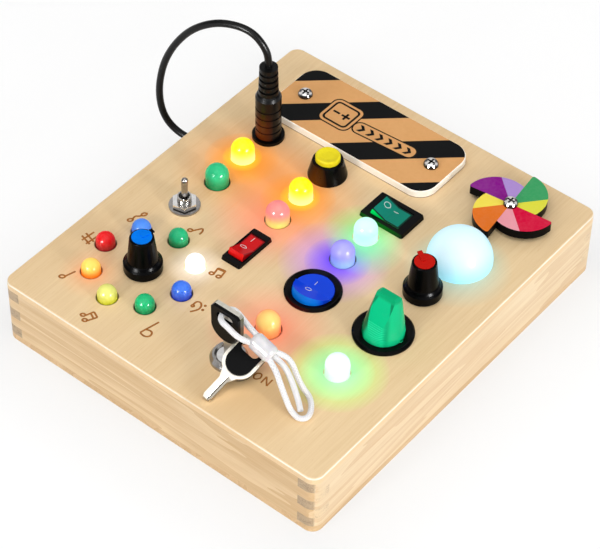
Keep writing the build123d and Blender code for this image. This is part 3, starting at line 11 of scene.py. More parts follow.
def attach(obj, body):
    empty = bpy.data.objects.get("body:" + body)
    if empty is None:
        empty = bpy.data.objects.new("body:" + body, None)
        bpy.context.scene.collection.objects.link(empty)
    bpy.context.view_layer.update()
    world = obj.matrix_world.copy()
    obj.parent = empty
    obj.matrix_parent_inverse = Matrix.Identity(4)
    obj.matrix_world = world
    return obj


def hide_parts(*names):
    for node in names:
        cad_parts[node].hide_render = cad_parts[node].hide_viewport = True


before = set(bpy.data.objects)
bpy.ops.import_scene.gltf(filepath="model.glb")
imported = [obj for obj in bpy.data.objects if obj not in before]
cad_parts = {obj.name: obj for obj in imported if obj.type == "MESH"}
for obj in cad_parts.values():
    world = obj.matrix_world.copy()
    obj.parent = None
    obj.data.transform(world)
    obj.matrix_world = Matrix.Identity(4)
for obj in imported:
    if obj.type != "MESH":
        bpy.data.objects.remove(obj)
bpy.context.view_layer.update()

MM = 0.001
# the panel's face, its underside and the battery cover's face, as heights in mm
TOP = 30.0
UNDER = 27.0
COVER_TOP = 33.4
HALF_WIDTH = 76.0
HALF_DEPTH = 87.5
FULL_TURN = 2 * math.pi
BLACK = (0.0, 0.0, 0.0, 1.0)
WHITE = (1.0, 1.0, 1.0, 1.0)
ring_middle = Vector((-39.307, -48.755))
red_dial_middle = Vector((49.506, 9.1))
wheel_middle = (50.403, 63.805)
dome_middle = (49.902, 32.008)


# ------------------------------------------------------------------ camera
def way_to(azimuth, elevation):
    """The way from the board's middle out to a place round it, from angles in degrees."""
    azimuth, elevation = math.radians(azimuth), math.radians(elevation)
    return Vector(
        (
            math.sin(azimuth) * math.cos(elevation),
            -math.cos(azimuth) * math.cos(elevation),
            math.sin(elevation),
        )
    )


def aim_camera(azimuth, elevation, roll, lens, across, upward, away):
    """Stands the camera round the board; across, upward and away, its distance, are in mm."""
    back = way_to(azimuth, elevation)
    azimuth, roll = math.radians(azimuth), math.radians(roll)
    right = Vector((math.cos(azimuth), math.sin(azimuth), 0))
    up = back.cross(right)
    rolled_right = right * math.cos(roll) + up * math.sin(roll)
    rolled_up = up * math.cos(roll) - right * math.sin(roll)
    data = bpy.data.cameras.new("camera")
    data.lens = lens
    data.sensor_width = 36.0
    data.clip_start = 0.02
    data.clip_end = 30.0
    camera = bpy.data.objects.new("camera", data)
    place = (rolled_right * across + rolled_up * upward + back * away) * MM
    turn = Matrix((rolled_right, rolled_up, back)).transposed().to_4x4()
    camera.matrix_world = Matrix.Translation(place) @ turn
    bpy.context.scene.collection.objects.link(camera)
    bpy.context.scene.camera = camera


aim_camera(
    azimuth=38.405,
    elevation=46.568,
    roll=1.106,
    lens=142.27,
    across=-1.501,
    upward=9.478,
    away=929.6,
)


# ------------------------------------------------------------------ cords
def soft_tube(name, route, diameter):
    """A round cord along a smooth line through its route, in mm."""
    curve = bpy.data.curves.new(name, "CURVE")
    curve.dimensions = "3D"
    curve.bevel_depth = diameter / 2 * MM
    curve.bevel_resolution = 6
    curve.resolution_u = 16
    curve.use_fill_caps = True
    spline = curve.splines.new("NURBS")
    spline.points.add(len(route) - 1)
    for point, place in zip(spline.points, route):
        point.co = (*(Vector(place) * MM), 1.0)
    spline.order_u = 3
    spline.use_endpoint_u = True
    cord = bpy.data.objects.new(name, curve)
    bpy.context.scene.collection.objects.link(cord)
    return cord


lead_route = [
    (-49.9, 38.1, 65.8),
    (-49.9, 38.1, 71.0),
    (-51.5, 37.7, 76.1),
    (-56.4, 36.7, 81.3),
    (-63.6, 35.2, 82.3),
    (-72.9, 33.2, 79.9),
    (-82.7, 31.1, 72.8),
    (-90.3, 29.5, 62.6),
    (-95.9, 28.3, 50.6),
    (-98.7, 27.7, 37.5),
    (-98.8, 27.7, 27.0),
    (-96.5, 28.2, 18.9),
    (-91.4, 29.3, 13.9),
    (-84.6, 30.9, 11.9),
    (-77.2, 32.0, 11.5),
    (-70.0, 32.2, 11.4),
]
key_loop_route = [
    (26.2, -62.3, 46.2),
    (24.6, -64.8, 48.3),
    (22.0, -66.5, 50.6),
    (18.7, -66.9, 52.9),
    (15.5, -66.9, 53.9),
    (13.4, -65.0, 53.8),
    (13.1, -60.3, 53.5),
    (14.9, -58.4, 52.6),
    (18.5, -58.5, 50.4),
    (22.4, -59.1, 48.5),
    (26.0, -59.4, 47.6),
]
long_loop_route = [
    (34.0, -62.5, 43.2),
    (38.3, -64.0, 42.1),
    (42.5, -66.4, 39.5),
    (45.6, -67.6, 36.1),
    (48.2, -68.4, 32.9),
    (51.0, -69.0, 31.3),
    (53.8, -69.2, 31.2),
    (55.7, -67.0, 31.2),
    (54.7, -63.8, 31.2),
    (52.4, -60.8, 31.2),
    (49.6, -58.7, 31.5),
    (46.5, -58.5, 33.4),
    (43.3, -57.9, 36.7),
    (40.1, -56.6, 40.2),
    (36.9, -57.0, 42.8),
    (34.1, -59.3, 44.5),
]
loose_end_route = [
    (34.3, -60.0, 42.4),
    (37.3, -59.9, 42.1),
    (41.2, -60.7, 40.3),
    (44.6, -62.2, 38.1),
    (48.0, -64.0, 35.8),
    (50.9, -65.8, 33.8),
    (52.6, -67.2, 32.9),
]

LEAD_WIDTH = 3.0
LANYARD_WIDTH = 2.2
lead = soft_tube("lead_cable", lead_route, LEAD_WIDTH)
key_loop = soft_tube("lanyard_small_loop", key_loop_route, LANYARD_WIDTH)
long_loop = soft_tube("lanyard_large_loop", long_loop_route, LANYARD_WIDTH)
loose_end = soft_tube("lanyard_free_end", loose_end_route, LANYARD_WIDTH)


# ------------------------------------------------------------------ shader recipes
def paint(red, green, blue):
    """A colour named as on a screen, 0 to 255, made ready for a shader."""
    levels = (level / 255 for level in (red, green, blue))
    return (*(v / 12.92 if v <= 0.04045 else ((v + 0.055) / 1.055) ** 2.4 for v in levels), 1.0)


class Recipe:
    """Adds shader nodes to a material or a group, one call each."""

    def __init__(self, tree):
        self.tree = tree

    def add(self, kind, **settings):
        node = self.tree.nodes.new(kind)
        for name, value in settings.items():
            setattr(node, name, value)
        return node

    def feed(self, socket, value):
        if isinstance(value, bpy.types.NodeSocket):
            self.tree.links.new(value, socket)
        else:
            socket.default_value = value

    def math(self, operation, *values, clamp=False):
        node = self.add("ShaderNodeMath", operation=operation, use_clamp=clamp)
        for socket, value in zip(node.inputs, values):
            self.feed(socket, value)
        return node.outputs[0]

    def vector(self, operation, *values):
        node = self.add("ShaderNodeVectorMath", operation=operation)
        for socket, value in zip(node.inputs, values):
            self.feed(socket, value)
        return node.outputs["Value" if operation in ("DISTANCE", "LENGTH") else "Vector"]

    def mix(self, share, first, second):
        node = self.add("ShaderNodeMix", data_type="RGBA")
        self.feed(node.inputs[0], share)
        self.feed(node.inputs[6], first)
        self.feed(node.inputs[7], second)
        return node.outputs[2]

    def ease(self, value, start, stop, low=0.0, high=1.0):
        """value from start to stop, made to go smoothly from low to high."""
        node = self.add("ShaderNodeMapRange", interpolation_type="SMOOTHSTEP")
        for socket, given in zip(node.inputs, (value, start, stop, low, high)):
            self.feed(socket, given)
        return node.outputs[0]

    def noise(self, place, scale, detail=2.0, rough=0.5, bend=0.0):
        node = self.add("ShaderNodeTexNoise")
        self.feed(node.inputs["Vector"], place)
        self.feed(node.inputs["Scale"], scale)
        self.feed(node.inputs["Detail"], detail)
        self.feed(node.inputs["Roughness"], rough)
        self.feed(node.inputs["Distortion"], bend)
        return node.outputs[0]

    def parts(self, vector):
        node = self.add("ShaderNodeSeparateXYZ")
        self.feed(node.inputs[0], vector)
        return node.outputs

    def join(self, x, y, z):
        node = self.add("ShaderNodeCombineXYZ")
        for socket, value in zip(node.inputs, (x, y, z)):
            self.feed(socket, value)
        return node.outputs[0]

    def moved(self, place, shift, turn):
        node = self.add("ShaderNodeMapping")
        for socket, value in zip(node.inputs, (place, shift, turn)):
            self.feed(socket, value)
        return node.outputs[0]

    def blend(self, share, first, second, output_kind):
        """Ends the tree with two shaders, mixed by share."""
        node = self.add("ShaderNodeMixShader")
        self.feed(node.inputs[0], share)
        self.feed(node.inputs[1], first.outputs[0])
        self.feed(node.inputs[2], second.outputs[0])
        self.feed(self.add(output_kind).inputs["Surface"], node.outputs[0])

    def use(self, group, **values):
        node = self.add("ShaderNodeGroup", node_tree=group)
        for name, value in values.items():
            self.feed(node.inputs[name], value)
        return node.outputs


def make_group(name, inputs, outputs):
    """A node group with these named inputs and outputs: its recipe, entry and exit."""
    tree = bpy.data.node_groups.new(name, "ShaderNodeTree")
    for label, kind in inputs.items():
        tree.interface.new_socket(label, in_out="INPUT", socket_type="NodeSocket" + kind)
    for label, kind in outputs.items():
        tree.interface.new_socket(label, in_out="OUTPUT", socket_type="NodeSocket" + kind)
    recipe = Recipe(tree)
    entry = recipe.add("NodeGroupInput")
    leave = recipe.add("NodeGroupOutput")
    return tree, recipe, entry.outputs, leave.inputs


def make_wood_grain():
    """Growth bands, fibres and short pores of a pale wood whose grain runs along X."""
    tree, r, given, out = make_group(
        "wood grain",
        {"Place": "Vector", "Pale": "Color", "Dark": "Color", "Bands": "Float", "Pores": "Float"},
        {"Color": "Color", "Height": "Float", "Roughness": "Float"},
    )

    def along_grain(squeeze):
        return r.vector("MULTIPLY", given["Place"], (squeeze, 1.0, 1.0))

    drift = r.noise(along_grain(0.07), scale=70.0, detail=3.0, rough=0.45, bend=0.35)
    bands = r.math("FRACT", r.math("MULTIPLY", drift, 7.0))
    fibres = r.noise(along_grain(0.035), scale=1300.0, detail=3.0, rough=0.55)
    pores = r.ease(r.noise(along_grain(0.09), scale=2300.0, detail=1.0), 0.68, 0.76)
    cloud = r.noise(along_grain(0.3), scale=22.0, detail=2.0)
    band_share = r.math("MULTIPLY", r.ease(bands, 0.0, 0.9), given["Bands"])
    fibre_share = r.math("MULTIPLY", r.ease(fibres, 0.3, 0.75), 0.22)
    cloud_share = r.math("MULTIPLY", cloud, 0.5)
    pore_share = r.math("MULTIPLY", pores, given["Pores"])
    lines = r.math("ADD", band_share, fibre_share)
    total = r.math("ADD", lines, r.math("ADD", cloud_share, pore_share))
    total = r.math("MULTIPLY", total, 1.0, clamp=True)
    r.feed(out["Color"], r.mix(total, given["Pale"], given["Dark"]))
    r.feed(out["Height"], r.math("SUBTRACT", fibres, pores))
    r.feed(out["Roughness"], r.math("ADD", r.math("MULTIPLY", fibres, 0.16), 0.36))
    return tree


def make_surface():
    """Fine mottling and faint handling marks of a moulded, turned or plated surface."""
    tree, r, given, out = make_group(
        "handled surface",
        {"Place": "Vector", "Scale": "Float", "Marks": "Float", "Polish": "Float"},
        {"Mask": "Float", "Roughness": "Float", "Height": "Float"},
    )
    fine = r.noise(given["Place"], scale=given["Scale"], detail=3.0, rough=0.6)
    cloud = r.noise(
        given["Place"],
        scale=r.math("MULTIPLY", given["Scale"], 0.13),
        detail=3.0,
        rough=0.55,
        bend=0.4,
    )
    spread = r.math("MULTIPLY", r.math("SUBTRACT", cloud, 0.5), given["Marks"])
    mottle = r.math("ADD", r.math("MULTIPLY", fine, 0.5), r.math("MULTIPLY", cloud, 0.5))
    r.feed(out["Mask"], r.ease(mottle, 0.3, 0.7))
    r.feed(out["Roughness"], r.math("ADD", given["Polish"], spread, clamp=True))
    r.feed(out["Height"], fine)
    return tree


def make_soft_spot():
    """A round spot on the panel, for light or shade: strongest at its centre, gone at its reach."""
    tree, r, given, out = make_group(
        "soft spot",
        {
            "Place": "Vector",
            "Centre": "Vector",
            "Reach": "Float",
            "Fall": "Float",
            "Strength": "Float",
        },
        {"Mask": "Float"},
    )
    flat = r.vector("MULTIPLY", given["Place"], (1.0, 1.0, 0.0))
    distance = r.vector("DISTANCE", flat, given["Centre"])
    nearness = r.math("SUBTRACT", 1.0, r.math("DIVIDE", distance, given["Reach"]), clamp=True)
    faded = r.math("POWER", nearness, given["Fall"])
    r.feed(out["Mask"], r.math("MULTIPLY", faded, given["Strength"], clamp=True))
    return tree


def make_painted_rim_highlight():
    """Where an edge is rounded between a flat face and an upright one, for a painted highlight along
    it.
    """
    tree, r, given, out = make_group("painted rim highlight", {"Facing": "Vector"}, {"Mask": "Float"})
    level = r.math("ABSOLUTE", r.parts(given["Facing"])[2])
    both = r.math("MULTIPLY", level, r.math("SUBTRACT", 1.0, level))
    r.feed(out["Mask"], r.ease(both, 0.08, 0.24))
    return tree


wood_grain = make_wood_grain()
handled_surface = make_surface()
soft_spot_group = make_soft_spot()
painted_rim_highlight = make_painted_rim_highlight()

shader_names = {
    "metallic": "Metallic",
    "coat": "Coat Weight",
    "coat_roughness": "Coat Roughness",
    "glow": "Emission Strength",
    "through": "Subsurface Weight",
    "sheen": "Sheen Weight",
    "shine": "Specular IOR Level",
}


def start_finish(name, **plain):
    """A new material: its recipe, its shader's inputs and the place on the piece."""
    material = bpy.data.materials.new(name)
    material.use_nodes = True
    recipe = Recipe(material.node_tree)
    shader = material.node_tree.nodes["Principled BSDF"].inputs
    for key, value in plain.items():
        shader[shader_names[key]].default_value = value
    place = recipe.add("ShaderNodeTexCoord").outputs["Object"]
    return material, recipe, shader, place


def relief(recipe, shader, height, depth, strength=1.0):
    """Raises the surface by height, depth mm at most."""
    bump = recipe.add("ShaderNodeBump")
    recipe.feed(bump.inputs["Strength"], strength)
    recipe.feed(bump.inputs["Distance"], depth * MM)
    recipe.feed(bump.inputs["Height"], height)
    recipe.feed(shader["Normal"], bump.outputs[0])


def handled(recipe, shader, place, scale, marks, polish, depth=None, strength=1.0):
    """Gives a shader the roughness and relief of a handled surface, and returns its mottling."""
    surface = recipe.use(handled_surface, Place=place, Scale=scale, Marks=marks, Polish=polish)
    recipe.feed(shader["Roughness"], surface["Roughness"])
    if depth is not None:
        relief(recipe, shader, surface["Height"], depth=depth, strength=strength)
    return surface["Mask"]


def moulded(name, colour, shade, polish, scale=900.0, marks=0.08, depth=0.012, **plain):
    """A plastic or metal of one colour, with fine mottling, marks and texture."""
    material, recipe, shader, place = start_finish(name, **plain)
    mottle = handled(recipe, shader, place, scale=scale, marks=marks, polish=polish, depth=depth)
    recipe.feed(shader["Base Color"], recipe.mix(mottle, shade, colour))
    return material


def on_panel(centre):
    """A centre in mm as the shaders read it, in metres and at no height."""
    return (centre[0] * MM, centre[1] * MM, 0.0)


def soft_spot(recipe, place, centre, reach, fall, strength):
    """How much a spot of light or shade round that centre shows; centre and reach are in mm."""
    spot = recipe.use(
        soft_spot_group,
        Place=place,
        Centre=on_panel(centre),
        Reach=reach * MM,
        Fall=fall,
        Strength=strength,
    )
    return spot["Mask"]


def distance_from(recipe, place, centre):
    """How far a point is from that centre, whatever its height."""
    flat = recipe.vector("MULTIPLY", place, (1.0, 1.0, 0.0))
    return recipe.vector("DISTANCE", flat, on_panel(centre))


def height_fade(recipe, place, start, stop, low=0.0, high=1.0):
    """Goes smoothly from low to high between two heights in mm."""
    return recipe.ease(recipe.parts(place)[2], start * MM, stop * MM, low, high)


def length_along(recipe, vector, way):
    x, y, z = recipe.parts(recipe.vector("MULTIPLY", vector, way))
    return recipe.math("ADD", recipe.math("ADD", x, y), z)


def facing_of(recipe):
    return recipe.add("ShaderNodeTexCoord").outputs["Normal"]


def facing_up(recipe, start, stop, low=0.0, high=1.0):
    """Goes from low, on upright and downward faces, to high on those that look up."""
    return recipe.ease(recipe.parts(facing_of(recipe))[2], start, stop, low, high)


def turned_to(recipe, way, start=0.35, stop=0.8):
    """How much a face looks that way, from none to all."""
    return recipe.ease(length_along(recipe, facing_of(recipe), way), start, stop)


def lit_edge(recipe):
    """Where the surface turns away, as seen at a glancing angle."""
    layer = recipe.add("ShaderNodeLayerWeight")
    recipe.feed(layer.inputs["Blend"], 0.22)
    return layer.outputs["Facing"]


def wooden(name, pale, dark, bands, pores, turn, shift, end_axis=None, end_tones=None):
    """A wooden part: turn lays its grain, and faces across end_axis show darker end grain."""
    material, recipe, shader, place = start_finish(name, coat=0.06, coat_roughness=0.35, shine=0.3)
    laid = recipe.moved(place, shift, turn)
    grain = recipe.use(wood_grain, Place=laid, Pale=pale, Dark=dark, Bands=bands, Pores=pores)
    colour = grain["Color"]
    facing = facing_of(recipe)
    if end_axis is not None:
        across = recipe.math("ABSOLUTE", recipe.parts(facing)[end_axis])
        cut = recipe.ease(across, 0.62, 0.8)
        tubes = recipe.noise(place, scale=1800.0, detail=2.0)
        rings = recipe.noise(
            recipe.vector("MULTIPLY", place, (1.0, 1.0, 3.0)), scale=160.0, detail=2.0
        )
        speckle = recipe.mix(recipe.ease(tubes, 0.35, 0.65), *end_tones)
        end_grain = recipe.mix(recipe.ease(rings, 0.35, 0.65), speckle, end_tones[1])
        colour = recipe.mix(recipe.math("MULTIPLY", cut, 0.85), colour, end_grain)
    rim = recipe.use(painted_rim_highlight, Facing=facing)
    # painted highlight: rounded edges are lightened towards near white, standing in for the lamps'
    # reflection on them
    colour = recipe.mix(recipe.math("MULTIPLY", rim["Mask"], 0.8), colour, paint(255, 248, 234))
    recipe.feed(shader["Roughness"], grain["Roughness"])
    relief(recipe, shader, grain["Height"], depth=0.03, strength=0.6)
    return material, recipe, shader, place, colour


# ------------------------------------------------------------------ wood
ALONG_X = (0, 0, 0)
ALONG_Y = (0, 0, math.pi / 2)
# painted shade in the gap round a lens fades out between these distances from it, in mm
GAP_SHADE_START = 0.3
GAP_SHADE_END = 0.75
KEYS_SHADE = (31.0, -73.0)
gap_shade_lamps = ("green_large", "pink", "violet", "orange")
# light of the lit lamps on the panel: centre and reach in mm, fall, strength and tint
halos = [
    ((-44.0, 19.0), 32.0, 1.3, 0.85, paint(255, 150, 58)),
    ((-20.0, 16.0), 32.0, 1.3, 0.85, paint(255, 150, 58)),
    ((-18.5, 1.0), 26.0, 1.3, 0.85, paint(255, 142, 118)),
    ((-49.5, 21.0), 15.0, 0.7, 0.95, paint(255, 152, 6)),
    ((-18.0, 18.0), 15.0, 0.7, 0.95, paint(255, 152, 6)),
    ((-49.9, 21.9), 8.0, 0.6, 0.85, paint(255, 222, 40)),
    ((-18.0, 19.2), 8.0, 0.6, 0.85, paint(255, 222, 40)),
    ((14.0, 0.5), 22.0, 1.0, 0.9, paint(200, 128, 250)),
    ((14.8, 1.6), 13.0, 0.7, 1.0, paint(92, 64, 244)),
    ((13.0, 19.5), 16.0, 1.0, 0.9, paint(130, 240, 120)),
    ((19.0, 14.0), 15.0, 1.0, 0.8, paint(140, 250, 190)),
    ((17.0, -42.0), 25.0, 1.2, 0.9, paint(255, 140, 112)),
    ((49.7, -42.4), 19.5, 0.8, 0.92, paint(190, 250, 108)),
    ((49.7, -42.4), 14.0, 0.8, 0.9, paint(160, 255, 200)),
    ((-52.6, -62.8), 14.0, 1.3, 0.6, paint(255, 170, 110)),
    ((-25.0, -35.2), 12.0, 1.2, 0.7, paint(255, 250, 240)),
    ((52.0, 28.0), 21.0, 1.0, 0.7, paint(150, 210, 205)),
]


def top_finish():
    """The face panel, with painted light: the tint and glow of the lit lamps, a painted shadow in
    front of the keys and painted shade in the gaps round the lenses.
    """
    material, recipe, shader, place, colour = wooden(
        "birch face",
        paint(249, 221, 177),
        paint(224, 186, 132),
        bands=0.1,
        pores=0.3,
        turn=ALONG_Y,
        shift=(0.31, 0.17, 0.05),
    )
    upward = facing_up(recipe, 0.6, 0.9)
    # painted shadow: the wood in front of the keys and lanyard is darkened
    painted_key_shadow = soft_spot(recipe, place, KEYS_SHADE, reach=24.0, fall=0.7, strength=0.9)
    colour = recipe.mix(painted_key_shadow, colour, paint(228, 190, 138))
    shine = BLACK
    # painted light: each lit lamp's colour is painted on the upward faces round it, in base colour
    # and glow
    for centre, reach, fall, strength, tint in halos:
        glow = soft_spot(recipe, place, centre, reach, fall, strength)
        share = recipe.math("MULTIPLY", glow, upward)
        colour = recipe.mix(share, colour, tint)
        shine = recipe.mix(share, shine, tint)
    seats = []
    for turn, (name, *_) in ring_lamps.items():
        if name != "white":
            seats.append((ring_place(turn), RING_LAMP[0]))
    for name in gap_shade_lamps:
        seats.append((round_lamps[name][0], ROUND_LAMP[0]))
    # painted shade: a dark ring on the wood round these lenses, where the gap round each lens lies in
    # shade
    gap_shade = 0.0
    for centre, diameter in seats:
        away = distance_from(recipe, place, centre)
        start = diameter / 2 + GAP_SHADE_START
        stop = diameter / 2 + GAP_SHADE_END
        gap_shade = recipe.math("MAXIMUM", gap_shade, recipe.ease(away, start * MM, stop * MM, 0.88, 0.0))
    recipe.feed(shader["Base Color"], recipe.mix(gap_shade, colour, paint(70, 40, 20)))
    recipe.feed(shader["Emission Color"], recipe.mix(gap_shade, shine, BLACK))
    shader["Emission Strength"].default_value = 0.2
    return material


def bare_wood(name, pale, dark, **grain):
    """A wooden part that shows its own colour, with the painted highlight on its rounded edges."""
    material, recipe, shader, _, colour = wooden(name, pale, dark, **grain)
    recipe.feed(shader["Base Color"], colour)
    return material


# ------------------------------------------------------------------ meshes
def show(name, bm, body, *finishes, slot=None, sharp=35.0):
    """Closes a mesh, turns its faces outwards and makes it a piece that rides on a body."""
    bmesh.ops.remove_doubles(bm, verts=bm.verts, dist=1e-6)
    bmesh.ops.recalc_face_normals(bm, faces=bm.faces)
    bmesh.ops.scale(bm, vec=(MM, MM, MM), verts=bm.verts)
    mesh = bpy.data.meshes.new(name)
    bm.to_mesh(mesh)
    bm.free()
    for finish in finishes:
        mesh.materials.append(finish)
    for face in mesh.polygons:
        face.use_smooth = True
    mesh.set_sharp_from_angle(angle=math.radians(sharp))
    piece = bpy.data.objects.new(name, mesh)
    bpy.context.scene.collection.objects.link(piece)
    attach(piece, body)
    return piece


def step_out(bm, rim, outward, upward):
    """Pulls a new band from a round rim about the mesh's own centre line, and gives the new rim."""
    made = bmesh.ops.extrude_edge_only(bm, edges=rim)["geom"]
    verts = [g for g in made if isinstance(g, bmesh.types.BMVert)]
    for vert in verts:
        radius = vert.co.xy.length
        if radius > 1e-9:
            vert.co.xy *= (radius + outward) / radius
        vert.co.z += upward
    return [g for g in made if isinstance(g, bmesh.types.BMEdge) and g.is_boundary]


def domed(radius, top, steps):
    """A dome with its top at that height, then a wall that goes by the given steps out and up."""
    bm = bmesh.new()
    bmesh.ops.create_uvsphere(bm, u_segments=40, v_segments=20, radius=radius)
    bmesh.ops.bisect_plane(
        bm,
        geom=bm.verts[:] + bm.edges[:] + bm.faces[:],
        plane_co=(0, 0, 0),
        plane_no=(0, 0, 1),
        clear_inner=True,
    )
    bmesh.ops.translate(bm, vec=(0, 0, top - radius), verts=bm.verts)
    rim = [edge for edge in bm.edges if edge.is_boundary]
    for outward, upward in steps:
        rim = step_out(bm, rim, outward, upward)
    bmesh.ops.contextual_create(bm, geom=rim)
    return bm


# ------------------------------------------------------------------ lamps
def lens_finish(name, foot, crown, glow_foot, glow_crown, glow, fade, polish=0.14, edge=None):
    """A tinted lens; its colour and its own light go from the foot to the crown and to its edge."""
    material, recipe, shader, place = start_finish(
        name, coat=0.4, coat_roughness=0.2, glow=glow, shine=0.03
    )
    height = height_fade(recipe, place, *fade)
    mottle = handled(recipe, shader, place, scale=700.0, marks=0.05, polish=polish, depth=0.006)
    body = recipe.mix(height, foot, crown)
    light = recipe.mix(height, glow_foot, glow_crown)
    if edge:
        body = recipe.mix(lit_edge(recipe), body, edge)
        light = recipe.mix(lit_edge(recipe), light, edge)
    body = recipe.mix(recipe.math("MULTIPLY", mottle, 0.04), body, WHITE)
    recipe.feed(shader["Base Color"], body)
    recipe.feed(shader["Emission Color"], light)
    return material


# degrees round the ring: name, colour at the foot, colour at the crown, own light
# all but the white and amber lamps are off: their small own light is a painted glow
ring_lamps = {
    0: ("blue_right", (8, 60, 205), (54, 120, 246), 0.08),
    45: ("white", (255, 255, 255), (255, 255, 255), 0.7),
    90: ("green_back", (10, 138, 78), (34, 192, 128), 0.08),
    135: ("blue_back", (34, 100, 230), (80, 146, 250), 0.08),
    180: ("red", (176, 0, 8), (246, 6, 14), 0.12),
    225: ("amber", (255, 124, 0), (255, 214, 96), 0.32),
    270: ("lemon", (210, 210, 40), (240, 240, 126), 0.08),
    315: ("green_front", (0, 142, 80), (4, 196, 122), 0.08),
}
# centre, colours at the foot and the crown, light at the foot, how much light, colour of the edge
round_lamps = {
    # green_large is off: its small own light is a painted glow
    "green_large": ((-48.306, 4.795), (0, 150, 84), (36, 204, 136), None, 0.08, None),
    "yellow_left": ((-49.902, 22.295), (255, 244, 90), (255, 236, 0), (255, 255, 200), 0.55, None),
    "yellow_right": ((-17.997, 19.6), (255, 244, 90), (255, 236, 0), (255, 255, 200), 0.55, None),
    "pink": (
        (-16.796, 3.903), (250, 240, 110), (246, 140, 132), (250, 240, 100), 0.28, (238, 125, 150)
    ),
    "mint": (
        (15.002, 18.498), (208, 255, 250), (196, 250, 240), (225, 255, 252), 0.55, (190, 250, 230)
    ),
    "violet": (
        (15.702, 3.5), (160, 205, 255), (165, 162, 248), (160, 205, 255), 0.3, (125, 110, 245)
    ),
    "orange": (
        (16.902, -42.298), (252, 160, 84), (252, 214, 118), (255, 150, 84), 0.3, (255, 60, 76)
    ),
    "lime": (
        (49.704, -42.403), (214, 250, 234), (232, 250, 244), (222, 255, 242), 0.42, (205, 246, 226)
    ),
}
# a lamp's diameter and how far it stands above the panel
RING_LAMP = (7.7, 5.6)
ROUND_LAMP = (9.5, 8.9)
RING_RADIUS = 19.7
RING_TURN = -1.4
FLANGE = 1.0
LEG_SIZE = (0.6, 0.6, 4.0)
LEG_PITCH = 2.54
# heights between which a lens changes from its foot's colour to its crown's
RING_FADE = (30.0, 35.0)
ROUND_FADE = (30.5, 36.5)
DOME_FADE = (30.0, 41.0)


def ring_place(degrees):
    angle = math.radians(degrees + RING_TURN)
    return ring_middle + Vector((math.cos(angle), math.sin(angle))) * RING_RADIUS


def lamp_lens(name, at, diameter, proud, finish, node):
    """A domed lens, whose flange holds it against the panel's underside."""
    radius = diameter / 2
    top = TOP + proud
    wall = top - radius - UNDER
    bm = domed(radius, top, [(0, -wall), (FLANGE, 0), (0, -FLANGE)])
    bmesh.ops.translate(bm, vec=(*at, 0), verts=bm.verts)
    piece = show(name, bm, "root", finish, slot="lamp_lens")
    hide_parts(node)


def lamp_legs(name, places):
    """The two tinned legs under every lamp."""
    bm = bmesh.new()
    for x, y in places:
        for side in (-LEG_PITCH / 2, LEG_PITCH / 2):
            at = (x + side, y, UNDER - FLANGE - LEG_SIZE[2] / 2)
            made = bmesh.ops.create_cube(bm, size=1.0)["verts"]
            bmesh.ops.scale(bm, vec=LEG_SIZE, verts=made)
            bmesh.ops.translate(bm, vec=at, verts=made)
    bmesh.ops.bevel(
        bm,
        geom=bm.edges[:],
        offset=0.08,
        segments=1,
        affect="EDGES",
        profile=0.5,
        material=-1,
    )
    show(name, bm, "root", nickel, slot="lamp_lens")


# ------------------------------------------------------------------ finishes
top_birch = top_finish()
back_birch = bare_wood(
    "birch underside",
    paint(238, 206, 160),
    paint(204, 164, 112),
    bands=0.3,
    pores=0.5,
    turn=ALONG_Y,
    shift=(0.11, 0.43, 0.0),
)
# partly painted light: the side wood is painted paler than the end wood, standing in for the brighter
# light on the right side face
long_wall = bare_wood(
    "side wood",
    paint(247, 226, 190),
    paint(222, 186, 140),
    bands=0.4,
    pores=0.25,
    turn=ALONG_Y,
    shift=(0.07, 0.2, 0.4),
    end_axis=1,
    end_tones=(paint(150, 124, 98), paint(186, 158, 126)),
)
short_wall = bare_wood(
    "end wood",
    paint(246, 220, 178),
    paint(212, 172, 120),
    bands=0.4,
    pores=0.25,
    turn=ALONG_X,
    shift=(0.55, 0.1, 0.2),
    end_axis=0,
    end_tones=(paint(205, 175, 138), paint(238, 212, 172)),
)
burnt = moulded(
    "burnt line",
    paint(180, 112, 46),
    paint(150, 88, 32),
    polish=0.7,
    scale=1500.0,
    marks=0.2,
    shine=0.2,
)
satin_black = moulded(
    "satin black plastic",
    paint(5, 5, 6),
    paint(3, 3, 4),
    polish=0.26,
    scale=1400.0,
    marks=0.08,
    depth=0.015,
    shine=0.06,
)
rubber_black = moulded(
    "black rubber",
    paint(12, 11, 11),
    paint(6, 6, 6),
    polish=0.34,
    scale=1200.0,
    marks=0.12,
    depth=0.02,
    shine=0.2,
)
jack_black = moulded(
    "black socket", paint(7, 7, 7), paint(4, 4, 4), polish=0.3, scale=1000.0, shine=0.1
)
key_black = moulded(
    "key grip plastic", paint(9, 9, 10), paint(5, 5, 6), polish=0.34, scale=1500.0, shine=0.08
)
printed_black = moulded(
    "printed black", paint(15, 16, 17), paint(11, 12, 12), polish=0.4, shine=0.1
)
printed_tan = moulded(
    "printed tan", paint(228, 171, 112), paint(224, 165, 104), polish=0.4, shine=0.1
)
